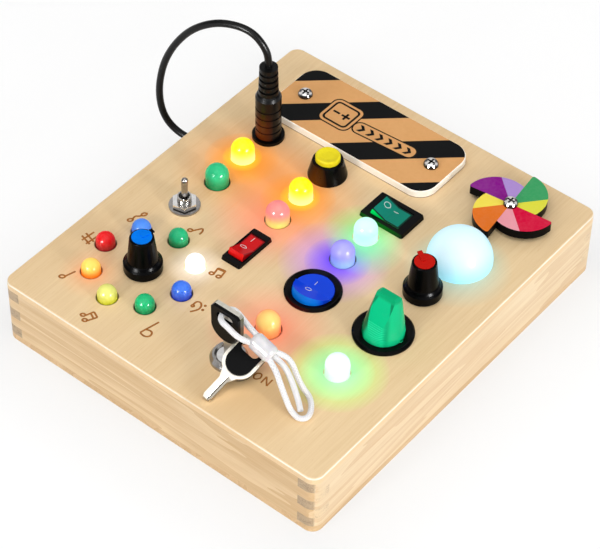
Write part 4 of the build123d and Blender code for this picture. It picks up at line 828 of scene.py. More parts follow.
# painted reflection: a darker copy of the bright chrome, standing in for the dark surroundings
# mirrored in the lock barrel, toggle washer and lever
dark_chrome = moulded(
    "dark chrome",
    paint(172, 168, 165),
    paint(140, 136, 133),
    polish=0.1,
    scale=500.0,
    marks=0.05,
    depth=0.003,
    metallic=1.0,
)
chrome = moulded(
    "bright chrome",
    paint(228, 226, 224),
    paint(205, 203, 202),
    polish=0.07,
    scale=500.0,
    marks=0.05,
    depth=0.003,
    metallic=1.0,
)
nickel = moulded(
    "satin nickel",
    paint(218, 212, 200),
    paint(186, 180, 168),
    polish=0.22,
    scale=800.0,
    marks=0.1,
    depth=0.006,
    metallic=1.0,
)
steel = moulded(
    "zinc screw",
    paint(205, 207, 210),
    paint(165, 167, 170),
    polish=0.22,
    scale=900.0,
    marks=0.12,
    depth=0.008,
    metallic=1.0,
)
pot_metal = moulded(
    "stamped case",
    paint(178, 178, 176),
    paint(140, 140, 138),
    polish=0.38,
    scale=700.0,
    marks=0.2,
    depth=0.02,
    metallic=1.0,
)
card_green = moulded(
    "circuit card", paint(30, 110, 62), paint(18, 80, 44), polish=0.4, scale=500.0, marks=0.15
)
cell_foil = moulded(
    "cell wrap", paint(196, 150, 60), paint(150, 108, 34), polish=0.3, scale=300.0, marks=0.15
)
yellow_cap = moulded(
    "yellow cap", paint(248, 230, 40), paint(240, 220, 30), polish=0.3, scale=700.0, shine=0.12
)
white_mark = moulded(
    "white mark", paint(235, 242, 240), paint(214, 222, 220), polish=0.5, scale=1200.0
)
spacer_nylon = moulded(
    "nylon spacer", paint(232, 230, 222), paint(210, 207, 198), polish=0.45, scale=900.0
)
bead_clear = moulded(
    "milky bead",
    paint(242, 238, 240),
    paint(214, 208, 212),
    polish=0.2,
    scale=260.0,
    marks=0.1,
    depth=0.15,
    coat=0.3,
    through=0.1,
)


# light of the lit lamps on the black housings: centre and reach in mm, and tint
near_lamps = [
    ((15.0, 18.5), 14.0, paint(0, 190, 40)),
    ((15.7, 3.5), 15.0, paint(40, 10, 255)),
    ((-18.0, 19.6), 11.5, paint(225, 115, 20)),
    ((-16.8, 3.9), 14.0, paint(200, 20, 20)),
    ((16.9, -42.3), 18.0, paint(190, 30, 10)),
    ((-49.9, 22.3), 14.0, paint(210, 84, 10)),
]


def housing_finish(name, shine, polish):
    """Black plastic whose sides catch the colours of the lamps near it."""
    material, recipe, shader, place = start_finish(name, coat=0.05, shine=shine, glow=0.45)
    mottle = handled(recipe, shader, place, scale=500.0, marks=0.06, polish=polish, depth=0.01)
    lit = BLACK
    for centre, reach, tint in near_lamps:
        glow = soft_spot(recipe, place, centre, reach, fall=0.8, strength=1.0)
        lit = recipe.mix(glow, lit, tint)
    sideways = facing_up(recipe, 0.5, 0.97, 1.0, 0.06)
    low_down = height_fade(recipe, place, 38.0, 48.0, 1.0, 0.0)
    share = recipe.math("MULTIPLY", sideways, low_down)
    recipe.feed(shader["Emission Color"], recipe.mix(share, BLACK, lit))
    recipe.feed(shader["Base Color"], recipe.mix(mottle, paint(6, 6, 7), paint(11, 11, 12)))
    return material


glossy_black = housing_finish("glossy black plastic", shine=0.05, polish=0.14)
plug_black = housing_finish("black plug", shine=0.17, polish=0.3)


def cap_finish(name, colour, shade, middle, radius):
    """A dial's cap: coloured in the middle and black outside that radius."""
    material, recipe, shader, place = start_finish(name, shine=0.03)
    mottle = handled(recipe, shader, place, scale=900.0, marks=0.08, polish=0.32, depth=0.012)
    away = distance_from(recipe, place, middle)
    outside = recipe.ease(away, radius * MM, (radius + 0.1) * MM)
    tinted = recipe.mix(mottle, shade, colour)
    recipe.feed(shader["Base Color"], recipe.mix(outside, tinted, paint(8, 9, 14)))
    return material


def screw_finish(name, top):
    """Bright chrome with a dark cross of painted shade, cut down from that height."""
    material, recipe, shader, place = start_finish(name, metallic=1.0)
    mottle = handled(recipe, shader, place, scale=500.0, marks=0.05, polish=0.08, depth=0.004)
    # painted shade: below the head's top the recess's floor is darkened to near black and its walls
    # to dark grey
    depth = height_fade(recipe, place, top - 0.9, top - 0.35, 1.0, 0.0)
    upward = facing_up(recipe, 0.4, 0.9)
    cut = recipe.math("MULTIPLY", depth, upward)
    low = recipe.math("MULTIPLY", depth, recipe.math("SUBTRACT", 1.0, upward))
    colour = recipe.mix(mottle, paint(205, 203, 202), paint(232, 230, 228))
    colour = recipe.mix(low, colour, paint(70, 66, 62))
    recipe.feed(shader["Base Color"], recipe.mix(cut, colour, paint(30, 28, 27)))
    return material


def nut_finish(name, foot):
    """Bright chrome, with painted shade in the corner where the nut stands on what is under it."""
    material, recipe, shader, place = start_finish(name, metallic=1.0)
    mottle = handled(recipe, shader, place, scale=500.0, marks=0.05, polish=0.1, depth=0.004)
    low = height_fade(recipe, place, foot + 0.25, foot + 0.75, 1.0, 0.0)
    level = recipe.math("ABSOLUTE", recipe.parts(facing_of(recipe))[2])
    # painted shade: low, upright faces of the nut are darkened
    corner_shade = recipe.math("MULTIPLY", low, recipe.ease(level, 0.3, 0.6, 1.0, 0.0))
    colour = recipe.mix(mottle, paint(214, 212, 210), paint(236, 234, 232))
    recipe.feed(shader["Base Color"], recipe.mix(corner_shade, colour, paint(36, 33, 30)))
    return material


# the spare key's tip in mm, the way across its blade and the way its face looks
SPARE_KEY_TIP = (21.9, -83.8, 31.7)
SPARE_KEY_ACROSS = (0.935, 0.029, -0.353)
SPARE_KEY_FACE = (0.344, -0.309, 0.886)
GROOVE_ASIDE = 0.75
GROOVE_START = 1.0
GROOVE_STOP = 11.0


def key_finish():
    """Plated key metal, with the groove along the spare key's blade, and painted shade in that
    groove, on a strip past it and on the keys' upright sides.
    """
    material, recipe, shader, place = start_finish("plated key", metallic=1.0)
    mottle = handled(recipe, shader, place, scale=700.0, marks=0.12, polish=0.3)
    from_tip = recipe.vector("SUBTRACT", place, Vector(SPARE_KEY_TIP) * MM)
    across = length_along(recipe, from_tip, SPARE_KEY_ACROSS)
    beside = recipe.math("ABSOLUTE", recipe.math("SUBTRACT", across, GROOVE_ASIDE * MM))
    line = recipe.ease(beside, 0.12 * MM, 0.26 * MM, 1.0, 0.0)
    painted_strip_shadow = recipe.ease(across, 0.8 * MM, 1.0 * MM, 0.0, 0.6)
    near = recipe.vector("LENGTH", from_tip)
    stretch = recipe.math(
        "MULTIPLY",
        recipe.ease(near, GROOVE_START * MM, (GROOVE_START + 0.4) * MM),
        recipe.ease(near, GROOVE_STOP * MM, (GROOVE_STOP + 1.0) * MM, 1.0, 0.0),
    )
    on_blade = recipe.math("MULTIPLY", stretch, turned_to(recipe, SPARE_KEY_FACE, 0.9, 0.97))
    groove = recipe.math("MULTIPLY", line, on_blade)
    side = recipe.math("SUBTRACT", 1.0, turned_to(recipe, SPARE_KEY_FACE, 0.5, 0.9))
    raised = height_fade(recipe, place, 40.0, 41.0, 0.35, 0.85)
    colour = recipe.mix(mottle, paint(216, 210, 198), paint(240, 235, 224))
    # painted shade: upright sides are darkened, more on the raised head
    colour = recipe.mix(recipe.math("MULTIPLY", side, raised), colour, paint(92, 84, 72))
    # painted shadow on the strip of the spare key's blade past the groove
    colour = recipe.mix(recipe.math("MULTIPLY", painted_strip_shadow, on_blade), colour, paint(96, 86, 72))
    # painted shade in the groove
    recipe.feed(shader["Base Color"], recipe.mix(groove, colour, paint(42, 36, 28)))
    relief(recipe, shader, recipe.math("SUBTRACT", 1.0, groove), depth=0.1)
    return material


def threaded(name, colour, polish, pitch, low, high):
    """Metal with a screw thread round a vertical axis between two heights, with painted shade in the
    thread's hollows.
    """
    material, recipe, shader, place = start_finish(name, metallic=1.0)
    handled(recipe, shader, place, scale=600.0, marks=0.08, polish=polish)
    height = recipe.parts(place)[2]
    turn = recipe.math("SINE", recipe.math("MULTIPLY", height, FULL_TURN / (pitch * MM)))
    inside = recipe.math(
        "MULTIPLY",
        recipe.ease(height, (low - 0.1) * MM, low * MM),
        recipe.ease(height, high * MM, (high + 0.1) * MM, 1.0, 0.0),
    )
    thread = recipe.math("MULTIPLY", turn, inside)
    # painted shade: the thread's hollows are darkened
    hollow_shade = recipe.math("MULTIPLY", recipe.ease(thread, 0.0, -0.8), 0.8)
    recipe.feed(shader["Base Color"], recipe.mix(hollow_shade, colour, paint(60, 58, 56)))
    relief(recipe, shader, thread, depth=0.12)
    return material


# how many strands of one family there are along the cord, and how many round it
STRANDS_ALONG = 60.0
STRANDS_ROUND = 5.0


def cord_finish():
    """White braid: two families of strands cross round the cord, with painted shade in the hollows
    between them.
    """
    material, recipe, shader, place = start_finish("white braid", sheen=0.3)
    lengthwise, around, _ = recipe.parts(recipe.add("ShaderNodeTexCoord").outputs["UV"])
    lengthwise = recipe.math("MULTIPLY", lengthwise, STRANDS_ALONG)
    around = recipe.math("MULTIPLY", around, STRANDS_ROUND)
    strands = []
    for way in ("ADD", "SUBTRACT"):
        slant = recipe.math(way, lengthwise, around)
        strands.append(recipe.math("SINE", recipe.math("MULTIPLY", slant, FULL_TURN)))
    braid = recipe.math("MAXIMUM", *strands)
    fuzz = recipe.noise(place, scale=2600.0, detail=2.0)
    # painted shade: the hollows between strands are darkened
    hollow_shade = recipe.ease(braid, 0.9, -0.2, 0.0, 0.55)
    colour = recipe.mix(hollow_shade, paint(246, 245, 246), paint(208, 207, 212))
    recipe.feed(shader["Base Color"], colour)
    recipe.feed(shader["Roughness"], recipe.ease(fuzz, 0.2, 0.8, 0.6, 0.8))
    relief(recipe, shader, recipe.math("ADD", braid, fuzz), depth=0.07, strength=0.7)
    return material


def lead_finish():
    """Smooth black cable with the faint waviness of its moulding."""
    material, recipe, shader, place = start_finish(
        "cable sheath", coat=0.08, coat_roughness=0.2, shine=0.15
    )
    mottle = handled(
        recipe, shader, place, scale=500.0, marks=0.15, polish=0.34, depth=0.05, strength=0.6
    )
    recipe.feed(shader["Base Color"], recipe.mix(mottle, paint(8, 8, 9), paint(15, 15, 16)))
    return material


# the slanted bars: their pitch, lean in degrees, where one starts, and the black's share
BAR_PITCH = 35.3
BAR_LEAN = 42.0
BAR_START = (44.1, 63.4)
BLACK_SHARE = 0.424


def cover_finish():
    """The battery cover: black and tan slanted bars on its face, white at its cut edges, which carry
    a painted glow and a painted shadow line at their foot.
    """
    material, recipe, shader, place = start_finish(
        "striped cover", coat=0.03, coat_roughness=0.25, shine=0.08, glow=0.14
    )
    mottle = handled(recipe, shader, place, scale=600.0, marks=0.12, polish=0.36, depth=0.01)
    x, y, _ = recipe.parts(place)
    slope = 1 / math.tan(math.radians(BAR_LEAN))
    slide = recipe.math("MULTIPLY", recipe.math("SUBTRACT", y, BAR_START[1] * MM), slope)
    # ten bars more keep the distance above nought all over the cover
    ahead = (BAR_START[0] + 10 * BAR_PITCH) * MM
    along = recipe.math("ADD", recipe.math("SUBTRACT", x, slide), ahead)
    phase = recipe.math("FRACT", recipe.math("DIVIDE", along, BAR_PITCH * MM))
    bar = recipe.math(
        "MULTIPLY",
        recipe.ease(phase, BLACK_SHARE, BLACK_SHARE + 0.008, 1.0, 0.0),
        recipe.ease(phase, 0.0, 0.006),
    )
    tan = recipe.mix(mottle, paint(229, 169, 107), paint(234, 176, 115))
    black = recipe.mix(mottle, paint(13, 14, 14), paint(16, 17, 18))
    face = recipe.mix(bar, tan, black)
    white = recipe.mix(mottle, paint(250, 240, 226), paint(255, 248, 236))
    # painted shadow: the cut edges darken along the gap just above the panel
    under = height_fade(recipe, place, TOP + 0.15, TOP + 0.5, 0.85, 0.0)
    white = recipe.mix(under, white, paint(96, 66, 40))
    printed = facing_up(recipe, 0.9, 0.95)
    recipe.feed(shader["Base Color"], recipe.mix(printed, white, face))
    # painted glow: the white cut edges give off a little light of their own
    recipe.feed(shader["Emission Color"], recipe.mix(printed, white, BLACK))
    return material


# each blade's tip in degrees, its dark half and its light half
wheel_blades = [
    (6.8, (219, 0, 60), (244, 160, 172)),
    (96.8, (60, 165, 100), (230, 228, 66)),
    (186.8, (140, 20, 142), (180, 146, 216)),
    (276.8, (236, 118, 30), (252, 230, 84)),
]
# degrees from a blade's tip back to where each of its halves starts
DARK_START = 48.0
LIGHT_START = 90.0


def wheel_finish():
    """The pinwheel: two printed colours on each blade, black at its edges and underside."""
    material, recipe, shader, place = start_finish(
        "printed wheel", coat=0.02, coat_roughness=0.2, shine=0.03
    )
    mottle = handled(recipe, shader, place, scale=800.0, marks=0.1, polish=0.3, depth=0.01)
    x, y, _ = recipe.parts(recipe.vector("SUBTRACT", place, on_panel(wheel_middle)))
    turn = recipe.math("DIVIDE", recipe.math("ARCTAN2", y, x), FULL_TURN)
    share = recipe.math("FRACT", recipe.math("ADD", turn, 1.0))
    stops = []
    for tip, dark, light in wheel_blades:
        stops.append(((tip - DARK_START) % 360, dark))
        stops.append(((tip - LIGHT_START) % 360, light))
    stops.sort()
    ramp = recipe.add("ShaderNodeValToRGB")
    ramp.color_ramp.interpolation = "CONSTANT"
    elements = ramp.color_ramp.elements
    elements[0].position = 0.0
    elements[0].color = paint(*stops[-1][1])
    elements.remove(elements[1])
    for degrees, colour in stops:
        element = elements.new(degrees / 360)
        element.color = paint(*colour)
    recipe.feed(ramp.inputs[0], share)
    black = recipe.mix(mottle, paint(5, 5, 6), paint(10, 10, 11))
    printed = recipe.mix(recipe.math("MULTIPLY", mottle, 0.03), ramp.outputs[0], WHITE)
    on_face = facing_up(recipe, 0.9, 0.95)
    recipe.feed(shader["Base Color"], recipe.mix(on_face, black, printed))
    return material


# heights between which a rocker goes from its bright colour to its deep one
ROCKER_FADE = (28.0, 33.0)
TO_FRONT = (0, -1.0, 0)


def rocker_finish(name, deep, bright, lit, glow, frame_box=None, frame_colour=None):
    """A clear tinted rocker: deep above, brighter below, with a painted highlight where it faces the
    front and a painted glow of its own colour.
    """
    material, recipe, shader, place = start_finish(
        name, coat=0.2, coat_roughness=0.1, glow=glow, shine=0.03
    )
    handled(recipe, shader, place, scale=260.0, marks=0.06, polish=0.12, depth=0.02)
    colour = recipe.mix(height_fade(recipe, place, *ROCKER_FADE), bright, deep)
    if frame_box:
        x, y, half_x, half_y = frame_box
        aside, ahead, _ = recipe.parts(recipe.vector("SUBTRACT", place, on_panel((x, y))))
        in_x = recipe.math("SUBTRACT", half_x * MM, recipe.math("ABSOLUTE", aside))
        in_y = recipe.math("SUBTRACT", half_y * MM, recipe.math("ABSOLUTE", ahead))
        inset = recipe.math("MINIMUM", in_x, in_y)
        colour = recipe.mix(recipe.ease(inset, 0.0, 0.35 * MM, 1.0, 0.0), colour, frame_colour)
    # painted highlight: faces looking to the front take the lit colour
    colour = recipe.mix(turned_to(recipe, TO_FRONT), colour, lit)
    recipe.feed(shader["Base Color"], colour)
    # painted glow: the rocker gives off light of its own colour
    recipe.feed(shader["Emission Color"], colour)
    return material


# the paddle's front face: its middle, foot and half width in mm, and how fast it narrows
PADDLE_MIDDLE = 50.6
PADDLE_FOOT = 33.6
PADDLE_HALF_WIDTH = 7.9
PADDLE_TAPER = 0.313
RIB_PITCH = 0.7
RIBS_TOP = 39.0


def paddle_finish():
    """A clear green lever: a bright front with fine ribs across its lower half, deeper sides, a
    painted highlight down its right side and on the ribs, and a painted glow of its own colour.
    """
    material, recipe, shader, place = start_finish(
        "green paddle", coat=0.15, coat_roughness=0.1, glow=0.12, shine=0.03
    )
    mottle = handled(recipe, shader, place, scale=260.0, marks=0.05, polish=0.12)
    x, _, height = recipe.parts(place)
    front = turned_to(recipe, (0.1, -1.0, 0.1), 0.75, 0.92)
    right = turned_to(recipe, (1.0, 0, 0), 0.5, 0.8)
    sides = recipe.mix(mottle, paint(0, 96, 60), paint(0, 110, 70))
    # painted highlight: the side facing right is painted bright
    sides = recipe.mix(right, sides, paint(16, 188, 128))
    low_half = height_fade(recipe, place, RIBS_TOP - 0.4, RIBS_TOP + 0.4, 1.0, 0.0)
    wave = recipe.math("SINE", recipe.math("MULTIPLY", height, FULL_TURN / (RIB_PITCH * MM)))
    ribs = recipe.math("MULTIPLY", recipe.math("MULTIPLY", wave, low_half), front)
    across = recipe.math("ABSOLUTE", recipe.math("SUBTRACT", x, PADDLE_MIDDLE * MM))
    risen = recipe.math("SUBTRACT", height, PADDLE_FOOT * MM)
    taper = recipe.math("MULTIPLY", risen, PADDLE_TAPER)
    half_width = recipe.math("SUBTRACT", PADDLE_HALF_WIDTH * MM, taper)
    inset = recipe.math("SUBTRACT", half_width, across)
    face = recipe.mix(low_half, paint(2, 192, 134), paint(0, 198, 140))
    face = recipe.mix(recipe.ease(inset, 0.3 * MM, 0.8 * MM, 0.8, 0.0), face, paint(0, 112, 72))
    # painted highlight on the crests of the ribs
    face = recipe.mix(recipe.ease(ribs, 0.1, 0.9, 0.0, 0.5), face, paint(60, 232, 172))
    foot = height_fade(recipe, place, 31.0, 34.0, 0.45, 0.0)
    face = recipe.mix(foot, face, paint(30, 235, 150))
    ridge = height_fade(recipe, place, 47.2, 48.4)
    colour = recipe.mix(front, sides, face)
    colour = recipe.mix(ridge, colour, paint(10, 168, 112))
    recipe.feed(shader["Base Color"], colour)
    # painted glow: the paddle gives off light of its own colour
    recipe.feed(shader["Emission Color"], colour)
    relief(recipe, shader, ribs, depth=0.12, strength=0.6)
    return material


finishes = {
    "top_panel": top_birch,
    "bottom_panel": back_birch,
    "left_wall": long_wall,
    "right_wall": long_wall,
    "front_wall": short_wall,
    "back_wall": short_wall,
    "bottom_screws": steel,
    "cover_screws": screw_finish("cover screw", top=COVER_TOP + 1.9),
    "ring_lamp_card": card_green,
    "battery_cover": cover_finish(),
    "battery_holder": satin_black,
    "batteries": cell_foil,
    "battery_contacts": nickel,
    "dial_pots": pot_metal,
    "dial_nuts": nickel,
    "blue_dial_shaft": nickel,
    "red_dial_shaft": nickel,
    "blue_dial": satin_black,
    "red_dial": satin_black,
    "blue_dial_cap": cap_finish(
        "blue cap", paint(2, 130, 250), paint(2, 122, 240), ring_middle, radius=3.85
    ),
    "red_dial_cap": cap_finish(
        "red cap", paint(204, 30, 20), paint(194, 25, 17), red_dial_middle, radius=5.2
    ),
    # painted reflection: the toggle's threaded chrome is painted darker, standing in for the dark
    # surroundings it mirrors
    "toggle_body": threaded(
        "threaded chrome", paint(186, 183, 180), polish=0.12, pitch=0.75, low=33.0, high=35.1
    ),
    "toggle_washer": dark_chrome,
    "toggle_nut": nut_finish("toggle nut", foot=30.8),
    "toggle_lever": dark_chrome,
    "red_rocker_housing": glossy_black,
    "green_rocker_housing": glossy_black,
    "blue_rocker_housing": glossy_black,
    "paddle_housing": glossy_black,
    "red_rocker": rocker_finish(
        "red rocker",
        deep=paint(196, 12, 18),
        bright=paint(214, 24, 26),
        lit=paint(226, 22, 22),
        glow=0.12,
        frame_box=(-15.6, -16.1, 3.2, 6.4),
        frame_colour=paint(140, 4, 12),
    ),
    "green_rocker": rocker_finish(
        "green rocker",
        deep=paint(2, 122, 104),
        bright=paint(0, 138, 108),
        lit=paint(0, 226, 104),
        glow=0.2,
        frame_box=(16.0, 33.6, 6.2, 4.3),
        frame_colour=paint(0, 44, 34),
    ),
    "blue_rocker": rocker_finish(
        "blue rocker",
        deep=paint(8, 60, 214),
        bright=paint(14, 76, 226),
        lit=paint(8, 120, 232),
        glow=0.2,
    ),
    "paddle": paddle_finish(),
    "button_cap": yellow_cap,
    "button_housing": glossy_black,
    "button_spring": nickel,
    "button_nut": satin_black,
    "pinwheel": wheel_finish(),
    "pinwheel_spacer": spacer_nylon,
    "pinwheel_screw": screw_finish("pinwheel screw", top=38.0),
    "pinwheel_nut": steel,
    "lock_barrel": dark_chrome,
    "lock_nut": nickel,
    "lock_rotor": chrome,
    "key_blades": key_finish(),
    "key_grips": key_black,
    "lanyard_bead": bead_clear,
    "power_jack": jack_black,
    "jack_nut": nickel,
    "power_plug": plug_black,
    "plug_strain_relief": rubber_black,
    "lead_grommet": rubber_black,
}
for node, finish in finishes.items():
    for material_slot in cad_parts[node].material_slots:
        material_slot.material = finish

lead.data.materials.append(lead_finish())
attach(lead, "root")
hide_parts("power_lead")
braid = cord_finish()
strands = [
    (key_loop, "lanyard_key_loop"),
    (long_loop, "lanyard_long_loop"),
    (loose_end, "lanyard_loose_end"),
]
for cord, node in strands:
    cord.data.materials.append(braid)
    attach(cord, "keys")
    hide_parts(node)

places = []
for degrees, (name, foot, crown, glow) in ring_lamps.items():
    at = ring_place(degrees)
    places.append(at)
    foot, crown = paint(*foot), paint(*crown)
    finish = lens_finish(f"ring lens {name}", foot, crown, foot, crown, glow, RING_FADE)
    lamp_lens(f"ring_lamp_{name}", at, *RING_LAMP, finish, "ring_lamps")
for name, (at, foot, crown, inner, glow, edge) in round_lamps.items():
    places.append(at)
    foot, crown, inner = paint(*foot), paint(*crown), paint(*(inner or foot))
    edge = edge and paint(*edge)
    finish = lens_finish(f"lens {name}", foot, crown, inner, crown, glow, ROUND_FADE, edge=edge)
    lamp_lens(f"round_lamp_{name}", at, *ROUND_LAMP, finish, "round_lamps")
places.append(dome_middle)
pearl = paint(235, 245, 250)
white_lens = lens_finish("lens under dome", pearl, pearl, pearl, pearl, 1.0, ROUND_FADE)
lamp_lens("dome_lamp_source", dome_middle, *ROUND_LAMP, white_lens, "round_lamps")
lamp_legs("lamp_legs", places)

frosted = lens_finish(
    "frosted dome",
    foot=paint(142, 210, 230),
    crown=paint(190, 212, 218),
    glow_foot=paint(155, 232, 255),
    glow_crown=paint(222, 246, 255),
    glow=0.5,
    fade=DOME_FADE,
    polish=0.5,
    edge=paint(186, 234, 248),
)
for material_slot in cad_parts["dome_lamp"].material_slots:
    material_slot.material = frosted


# ------------------------------------------------------------------ burnt and printed marks
def stroke(bm, points, width, closed):
    """Adds a smooth line through the points, round in section and this wide."""
    curve = bpy.data.curves.new("stroke", "CURVE")
    curve.dimensions = "3D"
    curve.bevel_depth = width / 2
    curve.bevel_resolution = 2
    curve.resolution_u = 8
    curve.use_fill_caps = True
    spline = curve.splines.new("NURBS")
    spline.points.add(len(points) - 1)
    for point, place in zip(spline.points, points):
        point.co = (*place, 1.0)
    spline.order_u = min(3, len(points))
    spline.use_endpoint_u = True
    spline.use_cyclic_u = closed
    holder = bpy.data.objects.new("stroke", curve)
    mesh = bpy.data.meshes.new_from_object(holder)
    bpy.data.objects.remove(holder)
    bpy.data.curves.remove(curve)
    bm.from_mesh(mesh)
    bpy.data.meshes.remove(mesh)


def swung(point, lean, centre):
    """A point about the origin, turned by lean in degrees and moved to a centre."""
    x, y = point
    lean = math.radians(lean)
    return (
        centre[0] + x * math.cos(lean) - y * math.sin(lean),
        centre[1] + x * math.sin(lean) + y * math.cos(lean),
    )


OVAL_POINTS = 8


def oval(centre, across, along, lean=0.0):
    """A closed stroke's points round an oval; lean turns it, in degrees."""
    points = []
    for step in range(OVAL_POINTS):
        angle = FULL_TURN * step / OVAL_POINTS
        point = (across * math.cos(angle), along * math.sin(angle))
        points.append(swung(point, lean, centre))
    return points, True


def line(*points):
    return list(points), False


def fine_line(start, stop, steps=4):
    """A straight stroke with points between its ends, so that it can follow a curved face."""
    way = (Vector(stop) - Vector(start)) / steps
    return [tuple(Vector(start) + way * step) for step in range(steps + 1)], False


NOTE_WIDTH = 0.78
LABEL_WIDTH = 0.66
BURNT_HEIGHT = 0.05
note_strokes = [
    oval((-60.0, -71.5), 1.2, 0.85, 35.0),
    line((-59.2, -70.7), (-57.92, -66.33)),
    line((-18.44, -73.9), (-16.48, -65.54)),
    line(
        (-18.3, -73.9), (-16.4, -74.6), (-14.3, -73.3), (-14.7, -71.1), (-16.4, -70.7), (-17.7, -71.4)
    ),
    oval((-12.3, -51.3), 0.55, 0.55),
    line(
        (-12.6, -50.6), (-12.9, -48.9), (-11.2, -47.9), (-9.5, -49.4), (-9.4, -52.0), (-11.2, -54.2)
    ),
    oval((-8.7, -48.3), 0.22, 0.22),
    oval((-8.1, -50.5), 0.22, 0.22),
    oval((-40.6, -80.9), 1.0, 0.75, 25.0),
    oval((-38.3, -82.4), 1.0, 0.75, 25.0),
    line((-39.7, -80.6), (-38.45, -77.15)),
    line((-37.4, -82.1), (-35.6, -78.4)),
    line((-38.45, -77.15), (-35.6, -78.4)),
    line((-38.9, -78.5), (-36.2, -79.8)),
    oval((-17.8, -34.1), 0.95, 0.75, 20.0),
    oval((-14.7, -33.7), 0.95, 0.75, 20.0),
    line((-16.95, -33.8), (-17.7, -30.4)),
    line((-13.85, -33.4), (-14.5, -29.8)),
    line((-17.7, -30.4), (-14.5, -29.8)),
    line((-17.6, -30.9), (-14.4, -30.3)),
    oval((-39.0, -22.0), 1.0, 0.75, 25.0),
    line((-38.2, -21.8), (-35.95, -18.3)),
    line((-35.95, -18.3), (-34.5, -19.2), (-34.9, -21.5)),
    line((-67.3, -52.7), (-66.65, -46.5)),
    line((-64.78, -53.1), (-64.07, -47.0)),
    line((-68.6, -48.9), (-63.2, -50.4)),
    line((-68.9, -50.9), (-63.5, -52.4)),
    oval((-60.4, -32.7), 1.1, 0.8, 50.0),
    oval((-58.3, -27.0), 1.2, 0.8, 60.0),
    line((-60.0, -31.7), (-60.6, -29.9), (-59.2, -29.2), (-58.6, -28.2)),
]


on_strokes = [
    oval((28.6, -62.4), 1.35, 1.75, -12.0),
    line((31.5, -64.1), (31.3, -60.5)),
    line((31.3, -60.5), (34.1, -64.0)),
    line((34.1, -64.0), (33.9, -60.3)),
]


def burnt_marks(name, strokes, width):
    """Brown strokes on the panel, pressed almost flat."""
    bm = bmesh.new()
    for points, closed in strokes:
        stroke(bm, [(*point, TOP) for point in points], width, closed)
    squeeze = 2 * BURNT_HEIGHT / width
    for vert in bm.verts:
        vert.co.z = TOP + (vert.co.z - TOP) * squeeze
    show(name, bm, "root", burnt, sharp=60.0)


burnt_marks("burnt_notes", note_strokes, NOTE_WIDTH)
burnt_marks("burnt_on_label", on_strokes, LABEL_WIDTH)


CORNER_STEPS = 5
PRINT_STEP = 0.02


def rounded_box(size, radius):
    """The outline of a box with round corners, about its own middle."""
    points = []
    for side in range(4):
        middle = math.radians(45 + 90 * side)
        x = math.copysign(size[0] / 2 - radius, math.cos(middle))
        y = math.copysign(size[1] / 2 - radius, math.sin(middle))
        for step in range(CORNER_STEPS + 1):
            angle = math.radians(90 * side + 90 * step / CORNER_STEPS)
            points.append((x + radius * math.cos(angle), y + radius * math.sin(angle)))
    return points


def print_layer(bm, outline, at, lean, level, index):
    """Adds a thin printed layer, rooted in the cover; level counts the layers under it."""
    verts = []
    for point in outline:
        place = (*swung(point, lean, at), COVER_TOP - PRINT_STEP)
        verts.append(bm.verts.new(place))
    face = bm.faces.new(verts)
    made = bmesh.ops.extrude_face_region(bm, geom=[face])["geom"]
    lifted = [g for g in made if isinstance(g, bmesh.types.BMVert)]
    bmesh.ops.translate(bm, vec=(0, 0, PRINT_STEP * (level + 2)), verts=lifted)
    for vert in verts + lifted:
        for made_face in vert.link_faces:
            made_face.material_index = index


def cover_emblem():
    """A badge with plus and minus signs, and a bar of arrows beside it."""
    bm = bmesh.new()
    badge, bar, lean = (-32.9, 63.6), (-10.6, 63.0), 4.0
    black, tan = 0, 1
    print_layer(bm, rounded_box((15.4, 15.4), 3.4), badge, 0, 0, black)
    print_layer(bm, rounded_box((14.2, 14.2), 2.9), badge, 0, 1, tan)
    print_layer(bm, rounded_box((12.0, 12.0), 2.0), badge, 0, 2, black)
    print_layer(bm, rounded_box((10.2, 10.2), 1.3), badge, 0, 3, tan)
    for across, size in ((2.2, (4.0, 1.0)), (2.2, (1.0, 4.0)), (-2.4, (3.2, 1.0))):
        print_layer(bm, rounded_box(size, 0.2), (badge[0] + across, badge[1]), 0, 4, black)
    print_layer(bm, rounded_box((30.0, 7.2), 3.2), bar, lean, 0, black)
    print_layer(bm, rounded_box((28.8, 6.0), 2.7), bar, lean, 1, tan)
    arrow = [(-1.5, 1.9), (0.1, 1.9), (1.8, 0), (0.1, -1.9), (-1.5, -1.9), (0.2, 0)]
    for step in range(6):
        at = swung((-11.0 + 4.4 * step, 0), lean, bar)
        print_layer(bm, arrow, at, lean, 2, black)
    bm.normal_update()
    show("cover_emblem", bm, "root", printed_black, printed_tan)


cover_emblem()


def rocker_marks(rocker, width, *strokes):
    """Thin white strokes laid on top of a rocker: each goes down to the surface under it."""
    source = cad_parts[rocker].data
    surface = BVHTree.FromPolygons(
        [vert.co for vert in source.vertices], [face.vertices for face in source.polygons]
    )
    bm = bmesh.new()
    for points, closed in strokes:
        laid = []
        for x, y in points:
            hit = surface.ray_cast(Vector((x, y, 60.0)) * MM, Vector((0, 0, -1)))[0]
            laid.append((x, y, hit.z / MM - width * 0.3))
        stroke(bm, laid, width, closed)
    show(f"{rocker}_marks", bm, rocker, white_mark, sharp=60.0)


rocker_marks(
    "red_rocker",
    0.28,
    fine_line((-16.5, -12.7), (-16.4, -10.2)),
    oval((-16.7, -16.7), 1.4, 0.95),
)
rocker_marks(
    "green_rocker",
    0.34,
    fine_line((15.8, 35.2), (17.9, 35.4)),
    oval((12.6, 35.2), 1.35, 1.35),
)
rocker_marks(
    "blue_rocker",
    0.34,
    fine_line((16.4, -14.5), (16.3, -12.4)),
    oval((16.3, -18.1), 1.3, 1.0),
)


# ------------------------------------------------------------------ studio
FLOOR_SIZE = 3.0
FLOOR_WHITE = (0.92, 0.92, 0.92, 1.0)
# the share of the floor's look that is its own light and not the studio's
OWN_LIGHT = 0.72


